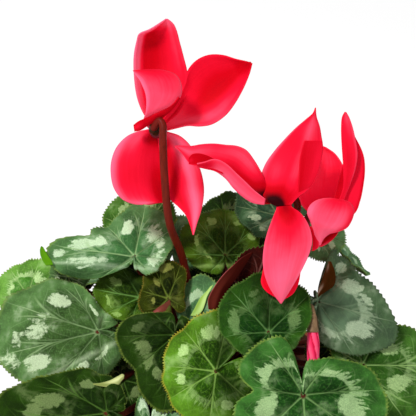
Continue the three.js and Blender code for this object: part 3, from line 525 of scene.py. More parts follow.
def stem_finish(name, low, high):
    """Smooth red stem skin, darker at the root, with fine lengthwise streaks."""
    stem = Finish(name, Specular_IOR_Level=0.1)
    along = stem.surface("along")
    spot = stem.place()
    streak = stem.grain(stem.stretched(spot, (1.0, 1.0, 0.12)), 900.0, 3.0)
    skin = stem.mix(along.rise(0.05, 0.95), low, high)
    skin = stem.mix(streak.rise(0.4, 0.75) * 0.4, skin, paint(38, 12, 8))
    skin = stem.mix(along.rise(1.05, 1.3), skin, paint(40, 34, 14))
    stem.colour(skin)
    stem.roughness(0.36 + 0.2 * streak)
    stem.raised(streak, 0.0002, 0.5)
    return stem.material


def tapered(radius, steps, shares, factors):
    """The radii of a stem that thickens and thins along its length."""
    return radius * np.interp(np.linspace(0, 1, steps), shares, factors)


stalk_radii = tapered(STALK_RADIUS, STALK_STEPS, (0, 0.1, 0.8, 1), (1.05, 0.95, 0.85, 0.95))
heap = Heap()
for leaf in LEAVES:
    heap.put_stem(leaf_stalk_line(leaf), stalk_radii, STALK_SIDES)
crown_profile = [
    (CROWN_INNER, GAP), (CROWN_OUTER, GAP), (CROWN_OUTER, 2.2), (CROWN_OUTER - 1, 4), (13.4, 4.8),
    (CROWN_RING, CROWN_HEIGHT), (9, 4.6), (7.3, 3.6), (CROWN_INNER, 2), (CROWN_INNER, GAP)]
points, faces = turned([(radius, TUBER_TOP + height) for radius, height in crown_profile], 72)
points = np.array([point + 0.5 * noise.noise(Vector(point) * 0.55) for point in points])
points[:, 2] = np.maximum(points[:, 2], TUBER_TOP + GAP)
heap.put(points, faces, along=0)
leaf_stem = stem_finish("leaf_stem", paint(52, 14, 8), paint(88, 34, 22))
heap.built("leaf_stems", leaf_stem, "stalk", "leaf_stalks")

# Leaf blades: heart-shaped, fleshy and satin, with fine teeth, sunken pale veins fanning from
# the stalk, and silver blots between the veins whose outer edge is feathered. Undersides are
# wine red. The upper skins also carry a faint painted sheen, a painted highlight along the crest
# of each bend, and on some blades painted shade on the side that lies in shadow.
BLADE_THICKNESS = 0.7
# A look gives the greens of the middle and the border, the colour of the silver, which is also
# used for a painted sheen and for painted highlights on the crests of bends, the colours of the
# veins and the rim, and how solid the silver blots are.
LOOKS = {
    "fresh": ((24, 64, 16), (60, 112, 42), (166, 198, 138), (126, 164, 98), (140, 164, 72), 0.9),
    "fair": ((44, 84, 22), (66, 110, 36), (172, 204, 136), (152, 188, 112), (140, 164, 72), 0.8),
    "bright": ((38, 76, 4), (92, 142, 32), (194, 230, 146), (146, 186, 90), (196, 172, 60), 0.85),
    "lime": ((64, 124, 34), (108, 160, 62), (200, 232, 160), (160, 200, 118), (160, 190, 84), 0.9),
    "dark": ((18, 40, 2), (34, 62, 6), (126, 148, 90), (88, 124, 52), (130, 152, 64), 0.75),
    "deep": ((16, 56, 10), (40, 80, 16), (118, 152, 90), (110, 154, 86), (100, 132, 58), 0.7),
    "olive": ((18, 30, 0), (50, 60, 2), (140, 146, 70), (116, 134, 54), (140, 120, 44), 0.8),
    "blue": ((46, 76, 52), (56, 88, 54), (168, 192, 152), (124, 150, 108), (96, 122, 80), 0.85),
    "slate": ((98, 126, 94), (72, 98, 64), (172, 192, 158), (128, 150, 116), (84, 106, 70), 0.9),
    "grey": ((62, 92, 42), (86, 124, 66), (198, 218, 176), (156, 186, 130), (130, 156, 80), 1.0),
    "marbled": ((62, 112, 58), (88, 130, 74), (210, 236, 194), (160, 196, 136), (130, 158, 70), 1.0),
    "glossy": ((36, 64, 4), (78, 114, 22), (168, 206, 112), (122, 168, 84), (110, 146, 60), 0.75),
    "pale": ((84, 134, 84), (100, 150, 92), (206, 240, 190), (140, 190, 130), (150, 186, 90), 0.9),
}
# How far the three points of each tooth stand out from the outline.
TOOTH = (0.55, 0.05, -0.5)
VEINS = (-146, -98, -48, 0, 48, 98, 146)
# The leaves that show most have their own veins and silver marks. A mark gives its angle from the
# tip and its share of the reach, then how far it spreads either side of each, and how solid it is
# where it is patchy. The ring is how much of the band between the marks is silver too, and a
# painted shade gives the angle of a side that lies in shadow, how far it spreads either way and
# how dark it is.


def pattern_row(ring, *marks, **more):
    return {"ring": ring, "marks": marks, **more}


PATTERNS = {
    1: pattern_row(0.95, (76, 0.54, 17, 0.17), (122, 0.62, 17, 0.08), (-75, 0.57, 16, 0.18),
        (-128, 0.62, 12, 0.06), veins=(-140, -93, -52, 0, 50, 100, 152)),
    2: pattern_row(0.35, (72, 0.68, 11, 0.09), (115, 0.65, 9, 0.13), (128, 0.6, 5, 0.1), (-70, 0.62, 10, 0.1),
        (25, 0.66, 9, 0.1), veins=(-100, -45, 8, 45, 92, 140), dusk=((-95, 42, 0.8), (150, 34, 0.8))),
    3: pattern_row(0.25, (98, 0.66, 10, 0.1), (64, 0.6, 13, 0.14), (42, 0.66, 11, 0.13), (20, 0.6, 8, 0.08),
        veins=(-130, -85, -40, 5, 45, 85, 130), dusk=((110, 34, 0.55), (-60, 40, 0.5))),
    4: pattern_row(0.3, (-160, 0.5, 26, 0.26), (166, 0.78, 18, 0.14)),
    5: pattern_row(0.25, (11, 0.56, 10, 0.14), (-1, 0.66, 9, 0.08), (52, 0.6, 10, 0.1),
        veins=(-140, -95, -50, -8, 30, 75, 125)),
    6: pattern_row(0.08, (43, 0.61, 8.5, 0.13), (8, 0.58, 9, 0.12, 0.6), (22, 0.56, 6, 0.06, 0.5),
        (1, 0.77, 6, 0.06, 0.5), (-10, 0.9, 8, 0.09, 0.5), (-21, 0.7, 8, 0.14), (-60, 0.6, 9, 0.12),
        (-100, 0.5, 26, 0.06), (85, 0.6, 10, 0.1), veins=(-150, -92, -43, -6, 24, 64, 112)),
    7: pattern_row(0.55, (-22, 0.44, 14, 0.13), (38, 0.5, 15, 0.14), (-75, 0.55, 12, 0.1),
        veins=(-140, -95, -50, 8, 60, 105, 150)),
    8: pattern_row(0.75, (-40, 0.64, 15, 0.18), (17, 0.61, 13, 0.15), (56, 0.68, 15, 0.1),
        (-72, 0.78, 9, 0.12), (-20, 0.72, 7, 0.07), veins=(-150, -110, -70, -4, 38, 80, 125)),
    9: pattern_row(0.4, (-66, 0.68, 20, 0.12), (66, 0.6, 26, 0.15), (-15, 0.7, 8, 0.07),
        veins=(-130, -87, -34, 8, 50, 95, 140), dusk=((4, 34, 0.6),)),
    10: pattern_row(0.3, (-18, 0.63, 20, 0.1), veins=(-120, -70, -38, 6, 50, 100, 145)),
    11: pattern_row(0.1, (16, 0.8, 12, 0.14), (-14, 0.56, 8, 0.15), (-78, 0.5, 14, 0.07),
        veins=(-110, -50, -2, 40, 90, 140)),
    12: pattern_row(0.1, (30, 0.62, 9, 0.15), (-10, 0.72, 14, 0.05), (-42, 0.84, 9, 0.09),
        veins=(-120, -70, -28, 8, 55, 100, 145), dusk=((70, 45, 0.8),)),
    13: pattern_row(0.9, (50, 0.5, 18, 0.14), (-45, 0.52, 12, 0.08), veins=(-130, -80, -20, 30, 80, 130)),
    16: pattern_row(0.45, (-22, 0.6, 9, 0.17), (-58, 0.7, 10, 0.08), (20, 0.66, 9, 0.1),
        veins=(-140, -90, -42, 0, 42, 90, 140)),
    17: pattern_row(0.12, (-19, 0.73, 7, 0.11), (50, 0.8, 9, 0.1), (-95, 0.46, 20, 0.07),
        (-60, 0.64, 12, 0.06), (18, 0.72, 6, 0.07), veins=(-140, -85, -34, 0, 40, 85, 135)),
    20: pattern_row(0.3, (-75, 0.71, 13, 0.15), (-21, 0.58, 13, 0.14), (32, 0.56, 17, 0.2, 0.7),
        (60, 0.66, 14, 0.12, 0.6), (98, 0.7, 28, 0.22, 0.75), (-104, 0.5, 8, 0.24, 0.6),
        (-92, 0.84, 5, 0.08, 0.6), veins=(-130, -85, -43, 1, 42, 88, 135), dusk=((-118, 14, 0.3),)),
}


def reach_at(leaf, angles):
    """The outline's reach at each angle from the tip, a smooth closed curve through the row."""
    values = leaf.get("reach") or [share * leaf["size"] for share in HEART]
    count = len(REACH_ANGLES)
    knots = np.array([REACH_ANGLES[k % count] + 360 * (k // count) for k in range(-2, count + 2)], float)
    reaches = np.array([values[k % count] for k in range(-2, count + 2)], float)
    slopes = (reaches[2:] - reaches[:-2]) / (knots[2:] - knots[:-2])
    first = np.clip(np.searchsorted(knots, angles, side="right") - 1, 1, len(knots) - 3)
    gap = knots[first + 1] - knots[first]
    t = (angles - knots[first]) / gap
    reach = (reaches[first] * (1 + 2 * t) * (1 - t) ** 2 + slopes[first - 1] * gap * t * (1 - t) ** 2
             + reaches[first + 1] * t * t * (3 - 2 * t) - slopes[first] * gap * t * t * (1 - t))
    reach = reach * (1 - 0.88 * np.exp(-((180 - np.abs(angles)) / 8) ** 2))
    for at, depth, width in leaf.get("dents", ()):
        off = (angles - at + 540) % 360 - 180
        reach = reach * (1 - depth * np.exp(-(off / width) ** 2))
    return reach


def bearing(angle):
    """The direction in the blade's plane at an angle from its tip."""
    return np.array([math.sin(math.radians(angle)), math.cos(math.radians(angle)), 0.0])


def curled(points, bend):
    """Rolls the blade down past a line, or up where by is negative, without stretching it."""
    toward, start, over, by = bend
    onward = bearing(toward)
    reach = points @ onward
    sweep = math.radians(by) * np.clip((reach - start) / over, 0, 1)
    radius = over / math.radians(by)
    straight = np.maximum(reach - start - over, 0)
    arm = radius + points[:, 2]
    out = start + arm * np.sin(sweep) + straight * np.cos(sweep)
    height = -radius + arm * np.cos(sweep) - straight * np.sin(sweep)
    moved = points + np.outer(out - reach, onward)
    moved[:, 2] = height
    return np.where((reach > start)[:, None], moved, points)


def blade_columns(veins, spokes_each):
    """Each column's angle, its share of the way from its vein to midway, its sector and that width."""
    columns = []
    for k, vein in enumerate(veins):
        last = k + 1 == len(veins)
        after = veins[0] + 360 if last else veins[k + 1]
        spokes = spokes_each * 4 // 3 if last else spokes_each
        for j in range(2 * spokes):
            share = 1 - abs(1 - j / spokes)
            half = (after - vein) / 2
            angle = vein + half * j / spokes
            if last:
                half = 180.0 - vein if j < spokes else after - 180.0
                offset = half * (1 - share) ** 1.5
                angle = 180.0 - offset if j < spokes else 180.0 + offset
                half *= 1.5
            columns.append((angle, share, k, half))
    angles, shares, sectors, widths = np.array(columns).T
    return (angles + 180) % 360 - 180, shares, sectors.astype(int), np.radians(widths)


def blade(leaf, index, rings, spokes):
    """Points, faces and surface values of one blade's middle sheet."""
    rng = np.random.RandomState(index * 7 + 3)
    pattern = PATTERNS.get(index, {})
    veins = pattern.get("veins") or [vein + rng.uniform(-6, 6) for vein in VEINS]
    angles, shares, sectors, widths = blade_columns(veins, spokes)
    count = len(angles)
    outline = reach_at(leaf, angles)
    levels = 1 - (1 - np.linspace(0, 1, rings + 1)[1:]) ** 1.15
    turns = np.radians(angles)
    phases = rng.uniform(0, 2 * math.pi, 6)
    for k, (lobes, depth) in enumerate(((5, 0.016), (9, 0.014), (14, 0.012))):
        outline = outline * (1 + depth * np.sin(lobes * turns + phases[k]) * np.cos(turns / 2) ** 0.5)
    tooth = np.array(TOOTH)[np.arange(count) % 3] * np.repeat(rng.uniform(0.5, 1.4, count), 3)[:count]
    tooth *= np.minimum(outline / 14, 1)
    rho = np.append(0.0, np.repeat(levels, count))
    columns = (turns, shares, widths, outline)
    theta, share, width, rim = (np.append(0.0, np.tile(column, rings)) for column in columns)
    sector = np.append(0, np.tile(sectors, rings))
    reach = rho * rim
    reach[-count:] += tooth
    swing = 0.05 * np.sin(2 * theta + phases[0]) * rho ** 2
    x = reach * np.sin(theta + swing * np.sin(theta) ** 2)
    y = reach * np.cos(theta + swing * np.sin(theta) ** 2)
    size = leaf["size"]
    height, waves, phase = leaf.get("wave", (0, 1, 0))
    ripple = height * np.cos(waves * np.arctan2(x, y) + math.radians(phase))
    points = np.stack([x, y, (x * x + y * y) / size * (ripple - leaf["cup"])], axis=1)
    beside = share * reach * width
    scale = size / 36
    groove = -0.22 * np.exp(-(beside / 1.1) ** 2) * (1 - 0.6 * rho)
    swell = np.sin(math.pi * share / 2) * np.abs(np.sin(math.pi * np.minimum(rho * 0.92, 1))) ** 0.8
    swell *= rng.uniform(0.6, 1.5, len(veins))[sector]
    puckers = [noise.noise(Vector((u * 0.16, v * 0.16, index * 9.0))) for u, v in zip(x, y)]
    margin = rho ** 4 * (0.9 * np.cos(7 * theta + phases[1]) + 0.6 * np.cos(12 * theta + phases[2]))
    points[:, 2] += groove + (2.2 * swell - 0.9 + 1.7 * np.array(puckers) * rho + margin) * scale
    # fold marks a thin line on the crest of each bend, which gets a painted highlight.
    fold = np.zeros(len(x))
    for bend in leaf.get("bends", ()):
        along = points @ bearing(bend[0])
        fold = np.maximum(fold, np.exp(-((along - bend[1] - bend[2] * 0.3) / 0.9) ** 2))
        points = curled(points, bend)
    line = 0.56 + 0.03 * np.sin(2 * theta + phases[3]) + 0.03 * np.sin(5 * theta + phases[4])
    marks = pattern.get("marks") or [
        (vein + span / 2 + rng.uniform(-6, 6), 0.6 + rng.uniform(-0.07, 0.07), span * rng.uniform(0.12, 0.36),
         rng.uniform(0.07, 0.16)) for vein, span in zip(veins, np.diff(veins))]
    blot = np.full(len(x), -9.0)
    outward = np.zeros(len(x))
    for angle, centre, spread, height, *solid in marks:
        off = (np.degrees(theta) - angle + 540) % 360 - 180
        out = (rho - centre) / height
        field = (solid or [1.0])[0] * (1.3 - out ** 2 - (off / spread) ** 2) - 0.3
        outward = np.where(field > blot, out, outward)
        blot = np.maximum(blot, field)
    ring = np.full(len(x), pattern.get("ring", rng.choice((0.1, 0.4, 0.9))))
    # Painted shade on the side of a blade that lies in shadow.
    dusk = np.zeros(len(x))
    for angle, spread, depth in pattern.get("dusk", ()):
        off = (np.degrees(theta) - angle + 540) % 360 - 180
        dusk = np.maximum(dusk, depth * np.exp(-(off / spread) ** 2) * np.minimum(rho / 0.12, 1))
    faces = [(0, 1 + (k + 1) % count, 1 + k) for k in range(count)] + ring_faces(rings - 1, count, 1)
    flat = np.stack([x, y, np.full(len(x), index * 13.0)], axis=1)
    streaks = np.stack([np.sin(theta) * 6, np.cos(theta) * 6, rho * 1.2 + index * 5.0], axis=1)
    marked = np.stack([blot, outward, ring], axis=1)
    surfaces = {"rho": rho, "share": share, "beside": beside, "marked": marked, "past": rho - line,
                "fold": fold, "dusk": dusk, "flat": flat, "streaks": streaks}
    return place(leaf["seat"]) + points @ blade_axes(leaf), faces, surfaces


def vein_mask(finish, rho, share, beside):
    """1 on the veins: palmate main veins, two forks of each, and a few faint side veins."""
    width = (1.1 - rho) * 0.5 + 0.16
    main = 1 - (beside / width).rise(0.35, 1.4)
    main = main * (1 - rho.rise(0.7, 0.97) * 0.8)
    fork_at = (rho - 0.4) * 1.15
    fork = 1 - (abs(share - fork_at) * rho).rise(0.008, 0.04)
    fork = fork * rho.rise(0.4, 0.46) * (1 - rho.rise(0.66, 0.88)) * 0.6
    second_at = (rho - 0.2) * 0.95
    second = 1 - (abs(share - second_at) * rho).rise(0.005, 0.03)
    second = second * rho.rise(0.2, 0.26) * (1 - rho.rise(0.4, 0.7)) * 0.35
    ladder = finish.add("ShaderNodeMath", {"operation": "PINGPONG"}, {0: rho * 5.5 - share * 1.6, 1: 0.5})
    side = (1 - ladder.rise(0.015, 0.06)) * rho.rise(0.12, 0.3) * (1 - rho.rise(0.75, 0.97)) * 0.2
    return main.upper(fork).upper(second).upper(side)


def leaf_finish(name, look):
    """The upper skin of a blade in one of the plant's greens."""
    centre, border, silver_and_sheen, vein, rim, solid = look
    leaf = Finish(name, Specular_IOR_Level=0.06)
    rho, share, beside = leaf.surface("rho"), leaf.surface("share"), leaf.surface("beside")
    past, fold, marked = leaf.surface("past"), leaf.surface("fold"), leaf.surface("marked", "Vector")
    blot, outward, ringed = (leaf.add("ShaderNodeSeparateXYZ", None, {0: marked}, k) for k in range(3))
    flat, streaks = leaf.surface("flat", "Vector"), leaf.surface("streaks", "Vector")
    fine = leaf.grain(flat, 1.1, 3.0, 0.6)
    broad = leaf.grain(flat, 0.09, 2.0)
    feather = leaf.grain(streaks, 2.6, 4.0, 0.7)
    splash = leaf.grain(flat, 0.45, 4.0, 0.65)
    skin = leaf.mix(past.rise(-0.14, 0.24), paint(*centre), paint(*border))
    skin = leaf.mix(broad.rise(0.42, 0.66) * 0.6, skin, paint(*(c * 0.55 for c in centre)))
    # A faint pale cloud of the silver colour over the surface is a painted sheen.
    skin = leaf.mix((1 - broad.rise(0.3, 0.47)) * splash.rise(0.3, 0.6) * 0.36, skin, paint(*silver_and_sheen))
    skin = leaf.mix(fine.rise(0.45, 0.75) * 0.3, skin, paint(*(min(c * 1.35, 255) for c in border)))
    speck = leaf.grain(flat, 2.4, 3.0, 0.7).rise(0.36, 0.6)
    ragged = (feather - 0.5) * 3.6
    torn = (splash - 0.5) * 2.8
    blots = (blot + ragged * outward.rise(-0.3, 0.4) + torn * 0.7).rise(-0.15, 0.4) * solid
    ring = (past + torn * 0.03).rise(-0.05, -0.015) * ringed
    ring = ring * ((0.13 - past) * 5.5 + ragged + torn * 0.7).rise(0.05, 0.6)
    silver = blots.upper(ring * 0.8) * (0.62 + 0.4 * speck)
    # The crest of each bend is lit up in the silver colour: a painted highlight.
    silver = silver.upper(fold * (0.35 + 0.5 * fine) * 0.75)
    skin = leaf.mix(silver.lower(0.95), skin, paint(*silver_and_sheen))
    veins = vein_mask(leaf, rho, share, beside)
    skin = leaf.mix(veins * 0.9, skin, paint(*vein))
    # Painted shade darkens the side of some blades that lies in shadow.
    skin = leaf.mix(leaf.surface("dusk"), skin, paint(16, 32, 2))
    edge = rho.rise(0.955, 1.0) * (0.35 + 0.65 * feather.rise(0.35, 0.65))
    skin = leaf.mix(edge * 0.8, skin, paint(*rim))
    skin = leaf.mix(1 - rho.rise(0.02, 0.055), skin, paint(74, 26, 18))
    leaf.colour(skin)
    leaf.roughness(0.4 + 0.18 * fine + 0.1 * silver)
    leaf.raised(speck * 0.3 - veins * 0.5 + fine * 0.6 + splash * 1.8, 0.0006, 0.7)
    return leaf.material


def underside_finish(name, colours):
    """The lower skin of a blade, with its veins a little paler."""
    dark, pale, blush, vein = (paint(*colour) for colour in colours)
    wine = Finish(name, Specular_IOR_Level=0.06)
    rho, share, beside = wine.surface("rho"), wine.surface("share"), wine.surface("beside")
    flat = wine.surface("flat", "Vector")
    fine = wine.grain(flat, 0.8, 3.0, 0.6)
    skin = wine.mix(fine.rise(0.35, 0.7), dark, pale)
    skin = wine.mix(wine.grain(flat, 0.1).rise(0.45, 0.7) * 0.6, skin, blush)
    veins = vein_mask(wine, rho, share, beside)
    wine.colour(wine.mix(veins * 0.6, skin, vein))
    wine.roughness(0.5 + 0.2 * fine)
    wine.raised(veins + fine * 0.3, 0.0004, 0.6)
    return wine.material


greens = {name: leaf_finish("leaf_" + name, look) for name, look in LOOKS.items()}
UNDERSIDES = {
    "wine": ((92, 26, 26), (132, 58, 56), (84, 52, 34), (176, 112, 100)),
    "maroon": ((40, 3, 1), (60, 12, 5), (30, 6, 0), (132, 84, 76)),
    "olive": ((56, 68, 12), (86, 98, 30), (40, 52, 8), (110, 124, 60)),
}
undersides = {name: underside_finish("leaf_under_" + name, colours) for name, colours in UNDERSIDES.items()}


def built_blade(name, leaf, index, rings, spokes, node=None):
    points, faces, surfaces = blade(leaf, index, rings, spokes)
    skins = [greens[leaf["look"]], undersides[leaf.get("under", "wine")]]
    built(name, points, faces, skins, node, BLADE_THICKNESS, surfaces)


LARGEST_IN_FRONT = 9
SHOWN_IN_FRONT = 23
for index, leaf in enumerate(LEAVES, start=1):
    rings, spokes = (12, 12) if index > SHOWN_IN_FRONT else (15, 18) if index > LARGEST_IN_FRONT else (20, 24)
    built_blade(f"blade_{index:02d}", leaf, index, rings, spokes, f"leaf_{index:02d}")

# Young leaves: small heart-shaped blades that still stand deep in the clump, between the grown
# ones. Each has the skins of the grown blades and a thinner stem of its own.
YOUNG_STEM_RADIUS = 0.7 * STALK_RADIUS
YOUNG_LEAVES = [
    blade_row("deep", (3.8, -33.3, -40), 17, (0, 46), 20, 0.06),
    blade_row("dark", (25, -18, -37), 14, (8, 50), -20, 0.06),
    blade_row("dark", (57, -65, -26), 15, (14, 48), 0, 0.06),
    blade_row("deep", (-46, -58, -38), 17, (-12, 48), 10, 0.06),
    blade_row("deep", (-34, -30, -38), 16, (-6, 50), 0, 0.06),
    blade_row("dark", (-39, -79, -14), 15, (-8, 50), 30, 0.06),
    blade_row("grey", (-65, -32, -23), 12, (-10, 50), 170, 0.06),
]
heap = Heap()
for number, leaf in enumerate(YOUNG_LEAVES, start=1):
    built_blade(f"young_blade_{number}", leaf, 50 + number, 12, 12)
    heap.put_stem(leaf_stalk_line(leaf), np.full(STALK_STEPS, YOUNG_STEM_RADIUS), STALK_SIDES)
heap.built("young_stems", leaf_stem, "stalk")

# Flower stalks: taller round stems, dark red-brown, that rise between the leaves and bend over
# at the top like a crook, where a small calyx of five pointed sepals holds the flower.
FLOWER_STALK_RADIUS = 1.75
THROAT_DEPTH = 2.5
CALYX_LENGTH = 4.5
CALYX_RADIUS = 2.6
SEPALS = 5
# The skin of a stem turns dull green where its share of the length is past 1.
CALYX_SHADE = 1.4
SEPAL_SHADE = 1.3
# A row gives the throat that the stalk ends behind, the way the throat opens, the root on the
# tuber's top and the places that the stalk goes through.
FLOWER_STALKS = {
    "a": ((-22.7, 34.7, 8), (0.15, -0.1, -1), (-3.6, 2),
          ((-11.5, -24, -17), (-17.3, -6.3, 4.5), (-19.2, 14.7, 15), (-19.8, 31, 17.5),
           (-19.9, 36.5, 17.3), (-21.3, 38.4, 16.6))),
    "b": ((33.2, 1.3, 21), (0, -0.2, 1), (0.3, -4.2),
          ((20, -60, -18), (31, -40, -8), (38, -12, 0), (40, 1, 4), (37.5, 5, 9))),
    "c": ((54.7, -6.2, 8), (0.3, -0.3, -0.9), (2.8, 3.2),
          ((26, -50, -24), (40, -30, -14), (44.5, -12, -4), (44.5, -5, 3), (47.5, -2, 9), (51, -3, 14))),
}


def through(points, steps):
    """A smooth line through the points, evenly stepped between each two (centripetal)."""
    points = np.asarray(points, float)
    padded = np.vstack([2 * points[0] - points[1], points, 2 * points[-1] - points[-2]])
    line = []
    count = len(points) - 1
    for t in np.linspace(0, count, steps):
        k = min(int(t), count - 1)
        a, b, c, d = padded[k:k + 4]
        before, here, after = (max(np.linalg.norm(q - p) ** 0.5, 1e-3) for p, q in ((a, b), (b, c), (c, d)))
        leave = ((b - a) / before - (c - a) / (before + here) + (c - b) / here) * here
        enter = ((c - b) / here - (d - b) / (here + after) + (d - c) / after) * here
        w = t - k
        line.append(b + leave * w + (3 * (c - b) - 2 * leave - enter) * w ** 2
                    + (leave + enter - 2 * (c - b)) * w ** 3)
    return np.array(line)


def laid(points, axis, foot):
    """Points whose upright axis is laid along another axis, from a foot."""
    lay = Vector((0, 0, 1)).rotation_difference(Vector(axis)).to_matrix()
    return np.array(points) @ np.array(lay).T + foot


def sheet_faces(rows, columns):
    """Faces of a sheet of rows of points that aren't closed round."""
    return [(i * columns + j, i * columns + j + 1, (i + 1) * columns + j + 1, (i + 1) * columns + j)
            for i in range(rows - 1) for j in range(columns - 1)]


def put_calyx(heap, profile, axis, foot, length, radius, shade, sepal_shade):
    """Adds a turned calyx, with small pointed sepals pressed round it."""
    points, faces = turned(profile, 24)
    heap.put(laid(points, axis, foot), faces, along=shade)
    rows, columns = 7, 5
    for k in range(SEPALS):
        points = []
        for i in range(rows):
            t = i / (rows - 1)
            spread = radius * (0.95 + 0.25 * math.sin(math.pi * min(t * 0.7, 1)))
            half = math.radians(32) * (1 - t) ** 0.6
            for j in range(columns):
                turn = 2 * math.pi * k / SEPALS + half * (2 * j / (columns - 1) - 1)
                points.append((spread * math.cos(turn), spread * math.sin(turn), length * (0.35 + 0.75 * t)))
        heap.put(laid(points, axis, foot), sheet_faces(rows, columns), along=sepal_shade)


def put_risen(heap, root, lift, path, axis, back, radii, sides):
    """Adds a stem that rises off the tuber's top and comes up behind a calyx."""
    start = np.array([*root, TUBER_TOP + GAP])
    stops = [start, start + (0, 0, lift), *(place(stop) for stop in path), back, back + axis * 1.5]
    heap.put_stem(through(stops, len(radii)), radii, sides)


flower_stem_radii = tapered(FLOWER_STALK_RADIUS, 90, (0, 0.7, 0.93, 1), (1.08, 0.95, 0.9, 0.8))
calyx_profile = eased([(0.01, 0), (CALYX_RADIUS * 0.75, 0.4), (CALYX_RADIUS, 2.2),
                       (CALYX_RADIUS * 0.9, CALYX_LENGTH), (0.01, CALYX_LENGTH)], 3)
flower_stem = stem_finish("flower_stem", paint(112, 30, 14), paint(104, 20, 12))
for key, (throat, opening, root, path) in FLOWER_STALKS.items():
    axis = unit(direction(opening))
    back = place(throat) - axis * (THROAT_DEPTH + GAP + CALYX_LENGTH)
    heap = Heap()
    put_risen(heap, root, 12, path, axis, back, flower_stem_radii, 18)
    put_calyx(heap, calyx_profile, axis, back, CALYX_LENGTH, CALYX_RADIUS, CALYX_SHADE, SEPAL_SHADE)
    heap.built(f"flower_stem_{key}", flower_stem, "stalk", f"flower_stalk_{key}")

# Flowers: five velvety swept-back petals grown from one short throat. They are crimson, darker
# and more purple at the throat, with fine lengthwise veins. Painted light and shade make them
# lighter and darker over their folds, rolls and cups, and they are coral, partly their paler
# outer face and partly painted for the light that comes through them.
PETAL_THICKNESS = 0.55
PETAL_ROWS = 64
PETAL_COLUMNS = 28
FULL_WIDTH = 14
# Petals glow a little by themselves, a painted light that stands for light let through them.
PETAL_GLOW = 0.1
# A petal's row gives its place in the flower, its tone, which holds painted light as well as its
# own colour, and how far it bulges. Its ribs run from the throat's end to the tip: each gives where
# the two edges are, right and up, and how far toward the front it lies. A mark of painted light
# and tint gives where along and across it lies, how far it spreads either way, and how much lighter
# or darker it is: most are painted light and shade over folds, rolls, cups and the throat, and some
# darken the throat's own colour. cups say how the edges turn, lean how far the second edge lies in
# front of the first, and glow how much it shines by itself, a painted light.


def petal_row(part, tone, bulge, ribs, painted_light_and_tint, cups=(0, 0), lean=0, glow=PETAL_GLOW):
    return {"part": part, "tone": tone, "bulge": bulge, "ribs": ribs, "painted_light_and_tint": painted_light_and_tint, "cups": cups,
            "lean": lean, "glow": glow}


